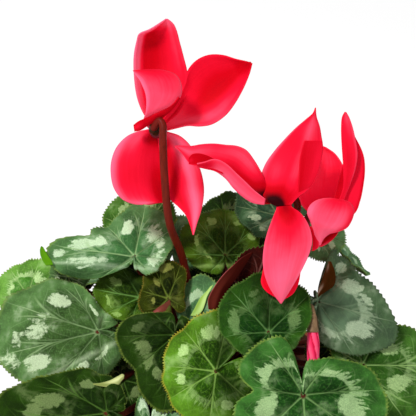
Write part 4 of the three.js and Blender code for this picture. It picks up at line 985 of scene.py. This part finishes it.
BLOOMS = {
    "a": (
        petal_row("upper left", 0.25, -2.5, ((-24.5, 36.5, -20, 36.5, 8), (-29.1, 43, -12.5, 43.9, 3),
            (-32, 50.9, -9.5, 52.3, -1), (-33.3, 61.5, -9.5, 61.5, -3), (-33.2, 69.1, -11.1, 68.2, -3),
            (-32, 74.9, -12.9, 74.9, -2), (-30.8, 77.9, -14.2, 79.7, 0), (-26.1, 80, -15.7, 82.7, 1),
            (-18.8, 84.8, -18.2, 84.8, 2)), painted_light_and_tint=((0.6, -0.9, 0.5, 0.18, 1), (0.7, 0.75, 0.45, 0.3, 0.4),
            (1, 0, 0.16, 1.2, 0.7), (0.6, -0.4, 0.35, 0.35, -0.35)), cups=(3, 1)),
        petal_row("right", 0.25, -3.5, ((-21.8, 36.5, -20.9, 33.8, 8), (-17.8, 42.8, -14.3, 35.5, 6),
            (-13.4, 49.2, -8.9, 36.7, 4), (-10.3, 56.5, -3.6, 36.5, 3), (-9, 61.9, 1.8, 37.5, 2),
            (-5.4, 66.2, 7.6, 41.3, 2), (0, 68.6, 11.6, 46.2, 3), (6.3, 68.4, 15.6, 53.2, 5),
            (12.5, 66.4, 18.3, 59.7, 7), (19.1, 64.9, 19.5, 64.2, 9)), painted_light_and_tint=((0.5, 0.75, 0.35, 0.3, 0.4),
            (0.5, -0.8, 0.35, 0.3, 0.1), (0.62, 0.1, 0.25, 0.35, -0.45), (0.25, 0.2, 0.22, 0.9, 0.3),
            (0.1, 0, 0.14, 1, 0.25), (0.97, 0, 0.1, 1, -0.5)), cups=(0.5, 2.5), lean=3, glow=0.16),
        petal_row("front", 0.72, 1.5, ((-26.2, 35.1, -22.9, 36.5, 8.5), (-28.5, 38.4, -26.1, 40, 13),
            (-27.2, 42.6, -20.9, 42.8, 17), (-26.9, 47.3, -15.3, 45.1, 19), (-27.5, 50.7, -12, 49, 20),
            (-28.6, 53.3, -11.6, 53.8, 20), (-30, 56.1, -14, 58.3, 18), (-31.5, 58.1, -19.4, 60.6, 15),
            (-32.5, 59.6, -26.5, 61.1, 13), (-33.3, 60.7, -32.8, 60.8, 11)),
            painted_light_and_tint=((0.5, -0.95, 0.6, 0.18, 0.3), (0.85, 0.3, 0.25, 0.8, -0.4), (0.1, 0, 0.2, 1, 0.15)),
            cups=(0, -1.5)),
        petal_row("front roll", 0.05, 1.2, ((-32.8, 36.7, -32.5, 33.8, 13), (-30.4, 38.4, -29.8, 34.4, 14),
            (-27.3, 39.7, -26, 36.8, 14), (-23.3, 41.1, -21.1, 39.2, 15.5), (-18.9, 43.2, -17.3, 41.9, 17),
            (-15.3, 45.6, -14.5, 44.7, 18.5), (-12.7, 48.6, -12.3, 48.1, 19.5)),
            painted_light_and_tint=((0.1, 0, 0.15, 0.7, 0.35), (0.6, 0.6, 0.3, 0.3, -0.3)), lean=-1.5),
        petal_row("lower left", 0.34, 1.5, ((-26.7, 35.1, -22.2, 33.4, 8), (-31.2, 34.1, -21.4, 31.2, 6),
            (-36.2, 31.9, -21, 27.3, 5), (-40.7, 27.3, -20.6, 22.3, 5), (-43, 21.4, -20.1, 17.4, 5.5),
            (-43.3, 15.2, -19.6, 12, 6), (-41.9, 8.9, -19.2, 7.1, 6), (-38.4, 4.2, -19, 2.7, 6),
            (-33.4, 2, -21.4, 2.5, 7), (-29.4, 1.6, -25.8, 1.6, 7.5)), painted_light_and_tint=((0.45, -0.95, 0.5, 0.25, 0.6),
            (0.95, -0.2, 0.2, 1, 0.6), (0.65, 0.8, 0.2, 0.3, -0.6), (0.05, 0.5, 0.14, 0.5, -1.2),
            (0.2, -0.4, 0.18, 0.4, 0.4)), cups=(-1.5, 0), lean=-2),
        petal_row("lower right", 0.4, 1.2, ((-22.7, 34.3, -18.7, 34.3, 8), (-22.3, 29.5, -12.5, 32.1, 5.5),
            (-21.4, 23.2, -7.6, 27.3, 5), (-20.5, 17, -4.7, 20.5, 5.5), (-19.2, 10.7, -2.7, 14.3, 6.5),
            (-17.4, 4.5, -1.9, 8.9, 7), (-13.3, 0.7, -2.2, 3.6, 8.5), (-9.8, -3.3, -3.3, -1.8, 10),
            (-8, -7.5, -4.9, -6.6, 11.5), (-6.8, -11.9, -6.4, -11.9, 12.5)),
            painted_light_and_tint=((0.4, -0.5, 0.32, 0.3, -0.45), (0.85, 0.3, 0.3, 0.8, 0.6), (0.2, 0.5, 0.2, 0.6, 0.5),
            (0.5, 0.4, 0.3, 0.3, 0.35)), cups=(1, -1)),
    ),
    "b": (
        petal_row("left", 0.5, 1.2, ((31, 4.8, 31.5, 0.4, 20.5), (28, 7.9, 28.9, 1.7, 19.5),
            (25.4, 10.5, 24.5, 1.7, 19.5), (23.6, 14.9, 19.7, 2.6, 20), (20.1, 21, 15.3, 5.2, 21),
            (16.6, 25.3, 10.9, 9.2, 22), (12.6, 27, 7.8, 13, 23.5), (7.8, 27.4, 4.3, 15.6, 25),
            (2.6, 27.9, 0.2, 16.9, 26), (-2.6, 27.6, -3.9, 18.3, 27), (-7.3, 26.8, -7.8, 19.1, 28),
            (-10.8, 26.9, -10.4, 22.4, 28.5), (-14.2, 26.7, -14, 26.2, 29)),
            painted_light_and_tint=((0.06, 0.1, 0.16, 0.9, -2.6), (0.32, 0.3, 0.2, 0.3, -0.5), (0.4, -0.6, 0.2, 0.4, 0.25),
            (0.85, -0.2, 0.2, 0.5, 0.3)), lean=2),
        petal_row("left fold", 0.8, 1.2, ((25, 3.9, 24.6, 1.5, 22.8), (20.4, 7.4, 19.8, 2.3, 23.3),
            (16.3, 11.3, 15.4, 4.8, 24.3), (12.1, 15.2, 11.1, 8.7, 25.8), (8.2, 18.8, 8, 12.5, 27.3),
            (4.7, 20.7, 4.7, 15.1, 28.8), (1.9, 20.9, 2.6, 16.2, 29.4), (-1.3, 19.8, -0.9, 17, 29.9),
            (-4.7, 19, -4.5, 17.9, 30.1)), painted_light_and_tint=((0.4, -0.6, 0.6, 0.3, -0.1), (0.4, 0.5, 0.5, 0.3, 0.15),
            (0.9, 0, 0.15, 1, -0.5)), cups=(-0.5, 0), lean=-5),
        petal_row("left inside", -0.1, -0.5, ((-8.3, 21.5, -8.3, 18.9, 29.7), (-6.9, 23.1, -6.5, 18.5, 29.5),
            (-4.3, 23.6, -3.9, 18.1, 29.2), (-0.9, 22.9, 0, 16.9, 28.6), (2.2, 21.4, 3.5, 15.9, 28),
            (5.2, 19, 6.5, 14.7, 27.4)), painted_light_and_tint=((0.5, 0.95, 0.5, 0.15, 0.5), (0.1, 0, 0.2, 1, 0.4))),
        petal_row("upright", 0.42, 2, ((29.6, 0.7, 36.1, 1.3, 23.6), (24.8, 3.9, 39.2, 4.6, 22),
            (23.4, 9.6, 44.2, 8.3, 18.5), (23.7, 15, 47.9, 14.5, 16), (25.5, 19.6, 49.8, 20.7, 15),
            (29.5, 25.3, 50.6, 26.9, 15), (33.9, 30.3, 49.8, 31.7, 16), (38.6, 35.1, 48.9, 36, 18),
            (42.8, 38.7, 47.6, 39.3, 20), (45.8, 41.4, 47, 41.8, 22), (46.7, 43.7, 46.9, 43.7, 23)),
            painted_light_and_tint=((0.03, -0.5, 0.13, 0.8, -2.3), (0.4, 0.22, 0.3, 0.25, 0.25), (0.75, 0.3, 0.2, 0.6, 0.3),
            (0.55, -0.95, 0.4, 0.12, 0.35), (0.25, -0.5, 0.2, 0.3, 0.2)), cups=(-0.5, 0)),
        petal_row("upright fold", 0.22, 0.5, ((39.1, 4.7, 39.7, 4.9, 20.6), (39.5, 9.2, 44.5, 8.8, 19.4),
            (39.8, 15.3, 48, 15.1, 18), (40.2, 21.5, 49.7, 21.3, 17.4), (41.3, 26.3, 50.3, 26.3, 17),
            (42.3, 29.5, 50.1, 29.5, 16.8)), painted_light_and_tint=((0.6, 0.7, 0.4, 0.5, 0.2), (0.3, -0.8, 0.5, 0.4, -0.15)),
            cups=(0.2, 0), lean=-2.6),
        petal_row("front", 0.68, 2.5, ((30.1, 1.7, 36.2, 2.4, 22.4), (29.8, -0.4, 36.5, 0.4, 23.4),
            (28.4, -3.9, 39.5, -1.7, 24.6), (26.7, -8.2, 42.5, -5.4, 25.5), (25.1, -13, 44.4, -10, 26.5),
            (24.1, -18.2, 45, -14.7, 27), (23.8, -23.4, 43.7, -19.9, 26.5), (24.7, -29.1, 41.4, -25.1, 25.5),
            (26.5, -33.9, 38.7, -30.4, 24), (29.2, -38.4, 35.7, -35.7, 22), (31.8, -41.7, 32.1, -41.7, 20)),
            painted_light_and_tint=((0.08, 0.1, 0.2, 0.9, -1.1), (0.35, 0, 0.25, 0.45, -0.15), (0.9, 0, 0.3, 1, 0.4),
            (0.75, 0.95, 0.25, 0.12, 0.25)), cups=(0, 0.8)),
        petal_row("back", 0.22, -1, ((30.6, 0.9, 35.8, 0.9, 20), (29.3, -3.5, 38.5, -3.5, 18.8),
            (26.8, -12.3, 43.1, -12.3, 15.5), (25.1, -22.1, 41.5, -22.1, 14), (24, -28.7, 40.8, -28.2, 14),
            (23.4, -32.8, 39.9, -33.1, 14.5), (25.3, -36.3, 37.4, -37.6, 16), (30.3, -39.5, 32.5, -40.6, 17)),
            painted_light_and_tint=((0.85, 0.8, 0.2, 0.4, 0.2),), glow=0.25),
        petal_row("behind", 0.2, -1, ((31, 1.7, 35.8, 1.7, 20), (29.3, 7, 39.4, 7, 19),
            (27.9, 13.3, 43.8, 11.9, 12), (29.4, 20.5, 46, 19.2, 6), (34, 27.3, 46.5, 26.8, 4),
            (39.8, 32.6, 44.7, 32.6, 5), (42.8, 35.6, 43.7, 35.6, 7)), painted_light_and_tint=((0.1, 0, 0.15, 1, -0.9),)),
    ),
    "c": (
        petal_row("upright", 0.35, 0.8, ((53.4, -5.3, 56.9, -5.3, 8), (57.2, 1.8, 59.9, 3.1, 10),
            (59.8, 8.9, 62.9, 10.6, 11), (59.9, 15.9, 65.2, 17.7, 12), (59.4, 23, 66, 23.9, 12.5),
            (58.9, 30, 65.1, 30, 13), (58.7, 35.7, 63.7, 35.7, 14), (59, 40.1, 62.1, 39.9, 15),
            (60, 42.2, 60.7, 42.2, 16)), painted_light_and_tint=((0.9, 0.2, 0.25, 0.9, 0.4), (0.5, 0.85, 0.35, 0.2, 0.3),
            (0.4, -0.2, 0.4, 0.4, -0.1)), cups=(0, -0.8)),
        petal_row("right", 0.4, 0.8, ((55.2, -4.9, 59.2, -5.8, 8), (58.8, 1.3, 65.5, -2.2, 7),
            (60.5, 7.1, 67.8, 3.6, 8), (62.3, 14.2, 69.2, 10.7, 8), (63.2, 21.4, 69.8, 16.9, 8),
            (63.6, 26.7, 69.3, 22.7, 8.5), (63.9, 30.2, 67.5, 27.5, 9.5), (64, 33.2, 64.9, 31.9, 11)),
            painted_light_and_tint=((0.5, 0.9, 0.5, 0.2, -0.3),)),
        petal_row("front", 0.72, 2.5, ((48.2, -16.6, 49.4, -16.2, 16.6), (47.1, -13.1, 50.4, -13.7, 18.5),
            (46.1, -9.6, 52.8, -11.3, 21), (44.6, -5.7, 56.6, -10.2, 23), (43.2, -2.2, 60.4, -8.5, 24),
            (43.9, 0.4, 62.8, -4.6, 24), (46.2, 2.6, 63.6, -0.9, 22.5), (49.8, 3.9, 62.2, 2, 21),
            (53.8, 4.2, 59.1, 3.5, 19.5)), painted_light_and_tint=((0.9, 0.1, 0.2, 0.9, -0.35), (0.15, 0, 0.25, 1, 0.35),
            (0.5, -0.9, 0.4, 0.2, 0.2), (0.55, 0.95, 0.25, 0.15, -0.3), (0.5, 0.5, 0.2, 0.3, 0.15)),
            cups=(0, -0.8)),
        petal_row("under", 0.15, 0.5, ((53.4, -6.2, 56.9, -5.8, 8), (52.4, -10.2, 58.2, -9.3, 9),
            (50.6, -13.3, 56.2, -12.8, 12), (49.1, -15.4, 52.7, -15.6, 14.5),
            (48.1, -16.7, 50.1, -16.9, 16.2)), painted_light_and_tint=((0.5, -0.3, 0.3, 0.8, -0.5),
            (0.85, 0.6, 0.3, 0.5, 0.6))),
        petal_row("curl", 0.35, 0.8, ((44.1, -8.3, 45.2, -7.9, 20.5), (45.1, -10.9, 47, -11.4, 19.6),
            (45.9, -14, 48.6, -14.5, 18), (45.9, -17.1, 48.5, -17.1, 17), (45.5, -18.9, 46.6, -18.5, 16.4)),
            painted_light_and_tint=((0.6, 0.9, 0.4, 0.3, 0.3), (0.3, -0.6, 0.4, 0.5, -0.3))),
        petal_row("back", 0.5, -1.5, ((52, -5.3, 56.9, -4.4, 8), (45.3, -2, 60, 1.8, 3),
            (41, 3.6, 62.2, 9.9, -1), (41.7, 10.9, 62.3, 16.3, -5), (45.4, 19.5, 60.8, 20.2, -6),
            (48.9, 25.4, 57.6, 24.5, -5), (51.1, 28.2, 53.3, 27.3, -3)), painted_light_and_tint=((0.8, 0, 0.25, 0.9, 0.15),
            (0.1, 0, 0.2, 1, -0.4)), glow=0.45),
        petal_row("behind", 0.2, -1, ((53.8, -4.9, 57.8, -4.9, 8), (55.8, 2.2, 63, 1.3, 5),
            (57.8, 9.9, 66.8, 8.5, 2.5), (60.2, 18, 67.8, 16.2, 1.5), (61.8, 26, 66.3, 25.1, 3)),
            painted_light_and_tint=((0.1, 0, 0.2, 1, -0.6),)),
    ),
}


def put_petal(heap, petal, number, lines):
    """Adds one petal's middle sheet. lines says how close its veins lie across and along."""
    ribs = np.array(petal["ribs"], float)
    firsts = through(ribs[:, (0, 1, 4)], PETAL_ROWS + 1)
    seconds = through(ribs[:, (2, 3, 4)], PETAL_ROWS + 1)
    part = np.linspace(-1, 1, PETAL_COLUMNS + 1)
    swell = petal["bulge"] * (1 - part ** 2)
    swell += petal["cups"][0] * np.clip((-part - 0.5) / 0.5, 0, 1) ** 2
    swell += petal["cups"][1] * np.clip((part - 0.5) / 0.5, 0, 1) ** 2
    points = []
    for i, (first, second) in enumerate(zip(firsts, seconds)):
        ease = math.sin(math.pi * min(i / PETAL_ROWS * 1.6 + 0.1, 0.5))
        fullness = ease * min(np.linalg.norm(second - first) / FULL_WIDTH, 1)
        for side, rise in zip(part, swell * fullness + petal["lean"] * part / 2 * ease):
            right, up, toward = (first + second) / 2 + (second - first) / 2 * side
            points.append(place((right, up, toward + rise)))
    along = np.repeat(np.linspace(0, 1, PETAL_ROWS + 1), PETAL_COLUMNS + 1)
    beside = np.tile(part, PETAL_ROWS + 1)
    tone = np.full(len(along), petal["tone"])
    for where, side, length, width, amount in petal["painted_light_and_tint"]:
        tone += amount * np.exp(-((along - where) / length) ** 2 - ((beside - side) / width) ** 2)
    stripes = np.stack([beside * lines[0], along * lines[1], np.full(len(along), number * 7.0)], axis=1)
    heap.put(np.array(points), sheet_faces(PETAL_ROWS + 1, PETAL_COLUMNS + 1), beside=beside,
             stripes=stripes, tone=tone, glow=petal["glow"])


def petal_finish(name, colours):
    """Thin skin that runs from shadow to its palest as its tone rises, with a faint painted glow."""
    shadow, deep, mid, light = (paint(*colour) for colour in colours)
    petal = Finish(name, Specular_IOR_Level=0.03, Emission_Strength=1.0)
    beside, tone = petal.surface("beside"), petal.surface("tone")
    stripes = petal.surface("stripes", "Vector")
    lines = petal.grain(stripes, 1.0, 4.0, 0.6)
    cloud = petal.grain(petal.place(), 60.0, 3.0)
    # Near the edges the tone rises a little: a painted highlight.
    tone = tone + 0.3 * (cloud - 0.5) + 0.2 * (lines - 0.5) + 0.15 * abs(beside).rise(0.86, 1.0)
    skin = petal.mix((tone + 1.1).rise(0.0, 1.15), shadow, deep)
    skin = petal.mix(tone.rise(0.0, 0.6), skin, mid)
    skin = petal.mix(tone.rise(0.45, 1.15), skin, light)
    petal.colour(skin)
    # The glow is a painted light for the light let through the thin skin.
    petal.feed(petal.shader.inputs["Emission Color"], petal.mix(petal.surface("glow"), paint(0, 0, 0), skin))
    petal.roughness(0.5 + 0.15 * lines)
    petal.raised(lines + 0.3 * cloud, 0.00025, 0.4)
    return petal.material


petal_face = petal_finish("petal_face", ((40, 0, 4), (188, 0, 18), (232, 18, 50), (248, 96, 128)))
throat_skin = Finish("throat", Roughness=0.6)
throat_grain = throat_skin.grain(throat_skin.place(), 900.0)
throat_skin.colour(throat_skin.mix(throat_grain, paint(120, 8, 40), paint(70, 6, 16)))
throat_profile = eased([(0.01, -THROAT_DEPTH), (3.2, -THROAT_DEPTH), (3.5, -1), (3.7, 0.8), (3.3, 1.2),
                        (2.8, 0.9), (2.2, -0.6), (0.01, -1)], 3)
for key, petals in BLOOMS.items():
    throat, opening, *_ = FLOWER_STALKS[key]
    heap = Heap()
    for number, petal in enumerate(petals):
        put_petal(heap, petal, number, (9, 1.6))
    heap.built(f"flower_{key}", petal_face, "petal", f"bloom_{key}", PETAL_THICKNESS)
    points, faces = turned(throat_profile, 40)
    points = laid(points, unit(direction(opening)), place(throat))
    built(f"throat_{key}", points, faces, [throat_skin.material])

# Curled margins: some blades roll an edge or a lobe over, so their other face shows as a narrow
# strip. Each strip is as thick as its blade and is laid out like a petal, with painted light and
# shade and the same faint painted glow.
MARGIN_SKINS = {
    "spring": ((50, 84, 6), (84, 140, 14), (118, 164, 36), (160, 190, 84)),
    "cream": ((84, 92, 40), (128, 138, 74), (192, 198, 134), (226, 228, 176)),
    "straw": ((90, 120, 40), (140, 176, 76), (184, 220, 126), (206, 230, 150)),
    "russet": ((46, 16, 10), (84, 40, 30), (116, 58, 46), (168, 88, 88)),
    "brown": ((36, 16, 0), (62, 32, 2), (84, 48, 20), (190, 172, 146)),
    "maroon": ((24, 2, 0), (46, 6, 2), (92, 34, 24), (160, 78, 80)),
}
MARGINS = (
    ("spring", petal_row("lime_edge", -0.3, 0.8, ((-77, -17.7, -76.1, -18.2, -17),
        (-77.3, -19.3, -75, -19.8, -15.5), (-76.7, -22, -73.1, -22.4, -12.5),
        (-75.3, -24.4, -71.2, -24.7, -10.2), (-73.9, -26.2, -70.7, -25.8, -9.2)),
        painted_light_and_tint=((0.4, 0.4, 0.3, 0.5, 0.4),))),
    ("cream", petal_row("cream_edge", 0.2, 0.5, ((-50.8, -77.6, -50.8, -78, 12.6),
        (-47.7, -77.3, -47.7, -78.6, 12.9), (-43.3, -76.1, -44.1, -79, 13.4),
        (-39.7, -74.2, -40.6, -78.9, 13.4), (-37.8, -73.3, -38.4, -76.4, 13),
        (-37.1, -73.8, -37.3, -75.1, 12.8)), painted_light_and_tint=((0.6, -0.4, 0.3, 0.4, 0.5), (0.2, 0, 0.2, 1, -0.4)))),
    ("straw", petal_row("yellow_edge", 0.3, 0.6, ((1.4, -35.9, 2.3, -35.4, -11.5),
        (-1.1, -38.8, 0.9, -37.9, -10.6), (-3.4, -41.1, -0.5, -40.6, -9.8), (-5, -43.7, -1.4, -43.7, -8.4),
        (-6.4, -46.4, -2.7, -46.8, -7.2), (-7.9, -49, -5, -49, -6.4)), painted_light_and_tint=((0.5, 0.6, 0.4, 0.4, 0.4),
        (0.6, -0.7, 0.3, 0.4, -0.4)))),
    ("russet", petal_row("red_edge", 0.2, 0.3, ((-25.3, -47.1, -24.8, -47.6, -1.8),
        (-22.6, -44.9, -21.6, -47.4, -1.6), (-19.4, -42.9, -18.5, -47.2, -2),
        (-17.2, -41.3, -16.5, -46.7, -2.4)), painted_light_and_tint=((0.2, 0, 0.3, 1, 0.5),))),
    ("brown", petal_row("dry_edge", 0.1, 1, ((54.8, -24.3, 55.9, -24.5, -7), (53.5, -27.7, 57.1, -27.9, -5.2),
        (52, -31.2, 57.7, -31.7, -4), (50.6, -35.3, 56.7, -35.3, -3.4), (49.4, -38.4, 52.8, -37.9, -2),
        (48.9, -40.6, 49.6, -40.1, -1.5)), painted_light_and_tint=((0.15, -0.6, 0.2, 0.5, 0.6),
        (0.75, -0.7, 0.25, 0.4, 0.9)))),
    ("maroon", petal_row("maroon_lobe", 0.1, 0.3, ((19.6, -19.6, 20, -20, 7.6),
        (14.7, -22.3, 17.4, -24.1, 7.2), (10.7, -25.9, 15.2, -27.6, 6.6), (7.1, -29.3, 12.9, -31.2, 6.2),
        (2.5, -35.5, 8.9, -36.2, 5.6), (0, -41, 6.7, -41.6, 5), (0.2, -45.2, 4.9, -45.8, 4.6)),
        painted_light_and_tint=((0.85, -0.2, 0.3, 0.6, 0.35), (0.5, -1, 0.6, 0.12, 0.8), (0.5, 0.8, 0.6, 0.5, -0.5),
        (0.1, 0, 0.2, 1, -0.1)))),
)
for number, (skin, margin) in enumerate(MARGINS):
    heap = Heap()
    put_petal(heap, margin, number, (3, 2))
    margin_skin = petal_finish("margin_" + skin, MARGIN_SKINS[skin])
    heap.built(margin["part"], margin_skin, "leaf", None, BLADE_THICKNESS)

# Bud: a small nodding flower not yet open, its petals twisted together into a pink point below a
# withered brown calyx, on a short arched stem between the front leaves.
BUD_TOP = (46.3, -54.3, 13)
BUD_TIP = (46.5, -75, 15)
BUD_CALYX_LENGTH = 7.5
BUD_CALYX_RADIUS = 2.3
BUD_PATH = ((16, -77, -27), (30, -69, -18), (38, -58, -5), (43, -46.5, 4), (45.3, -43.8, 9.5))
BUD_ROOT = (4.2, -1.2)
BUD_RADIUS = 2.9
BUD_STEM_RADIUS = 1.4
bud_top, bud_tip = place(BUD_TOP), place(BUD_TIP)
bud_length = np.linalg.norm(bud_tip - bud_top)
bud_axis = (bud_tip - bud_top) / bud_length
bud_profile = [(0.01, 0), (BUD_RADIUS * 0.8, 0), (BUD_RADIUS, bud_length * 0.25),
               (BUD_RADIUS * 0.95, bud_length * 0.6), (BUD_RADIUS * 0.55, bud_length * 0.88),
               (0.01, bud_length)]
points, faces = turned(eased(bud_profile, 8), 60)
turns = np.arctan2(points[:, 1], points[:, 0])
twist = turns + points[:, 2] / bud_length * 1.8
fold = (twist * 2.5 / math.pi + 0.35) % 1
points[:, :2] *= (1 - 0.16 * (1 - fold) ** 4)[:, None]
along = points[:, 2] / bud_length
stripes = np.stack([twist * 4, along, np.zeros(len(along))], axis=1)
# Each twisted petal is darker where it tucks under the next, a painted shade, and the part near the point is
# a little darker.
tone = 0.75 - 0.85 * (1 - fold) ** 3 - 0.3 * (along > 0.85)
heap = Heap()
heap.put(laid(points, bud_axis, bud_top), faces, beside=0, stripes=stripes, tone=tone, glow=PETAL_GLOW)
bud_skin = petal_finish("bud_skin", ((90, 0, 20), (190, 10, 50), (236, 50, 96), (250, 120, 150)))
heap.built("bud_petals", bud_skin, "petal", "bud")

bud_stem_radii = np.full(80, BUD_STEM_RADIUS)
bud_back = bud_top - bud_axis * (GAP + BUD_CALYX_LENGTH)
heap = Heap()
put_risen(heap, BUD_ROOT, 8, BUD_PATH, bud_axis, bud_back, bud_stem_radii, 16)
bud_calyx_profile = eased([
    (0.01, 0), (1.5, 0.4), (2.1, 2.2), (BUD_CALYX_RADIUS, 5), (2.75, BUD_CALYX_LENGTH + 1),
    (2.55, BUD_CALYX_LENGTH + 1), (2.4, BUD_CALYX_LENGTH), (0.01, BUD_CALYX_LENGTH)], 4)
put_calyx(heap, bud_calyx_profile, bud_axis, bud_back, BUD_CALYX_LENGTH, BUD_CALYX_RADIUS, 1.0, 1.0)
withered = stem_finish("withered_stem", paint(66, 26, 18), paint(126, 100, 72))
heap.built("bud_stem", withered, "stalk", "bud_stalk")

# Floor and light: a plain pale floor under soft studio light, as in the photo, with the key
# from the upper left and a white surround.
floor_mesh = bpy.data.meshes.new("floor")
floor_mesh.from_pydata([(-4, -4, 0), (4, -4, 0), (4, 4, 0), (-4, 4, 0)], [], [(0, 1, 2, 3)])
floor = bpy.data.objects.new("floor", floor_mesh)
scene.collection.objects.link(floor)
paper = Finish("floor_paper", Base_Color=(0.92, 0.92, 0.92, 1.0), Roughness=0.9, Specular_IOR_Level=0.1)
floor_mesh.materials.append(paper.material)

world = bpy.data.worlds.new("studio")
world.use_nodes = True
world.node_tree.nodes["Background"].inputs["Color"].default_value = (1.0, 1.0, 1.0, 1.0)
world.node_tree.nodes["Background"].inputs["Strength"].default_value = 0.42
scene.world = world


def soft_light(name, spot, target, size, power):
    data = bpy.data.lights.new(name, "AREA")
    data.shape = "DISK"
    data.size = size
    data.energy = power
    light = bpy.data.objects.new(name, data)
    light.location = spot
    light.rotation_euler = (Vector(target) - Vector(spot)).to_track_quat("-Z", "Y").to_euler()
    scene.collection.objects.link(light)


soft_light("key", (-3.0, -2.75, 6.25), (0.0, 0.0, 0.16), 1.5, 500.0)
soft_light("fill", (0.9, -1.1, 0.6), (0.0, 0.0, 0.16), 0.8, 2.5)
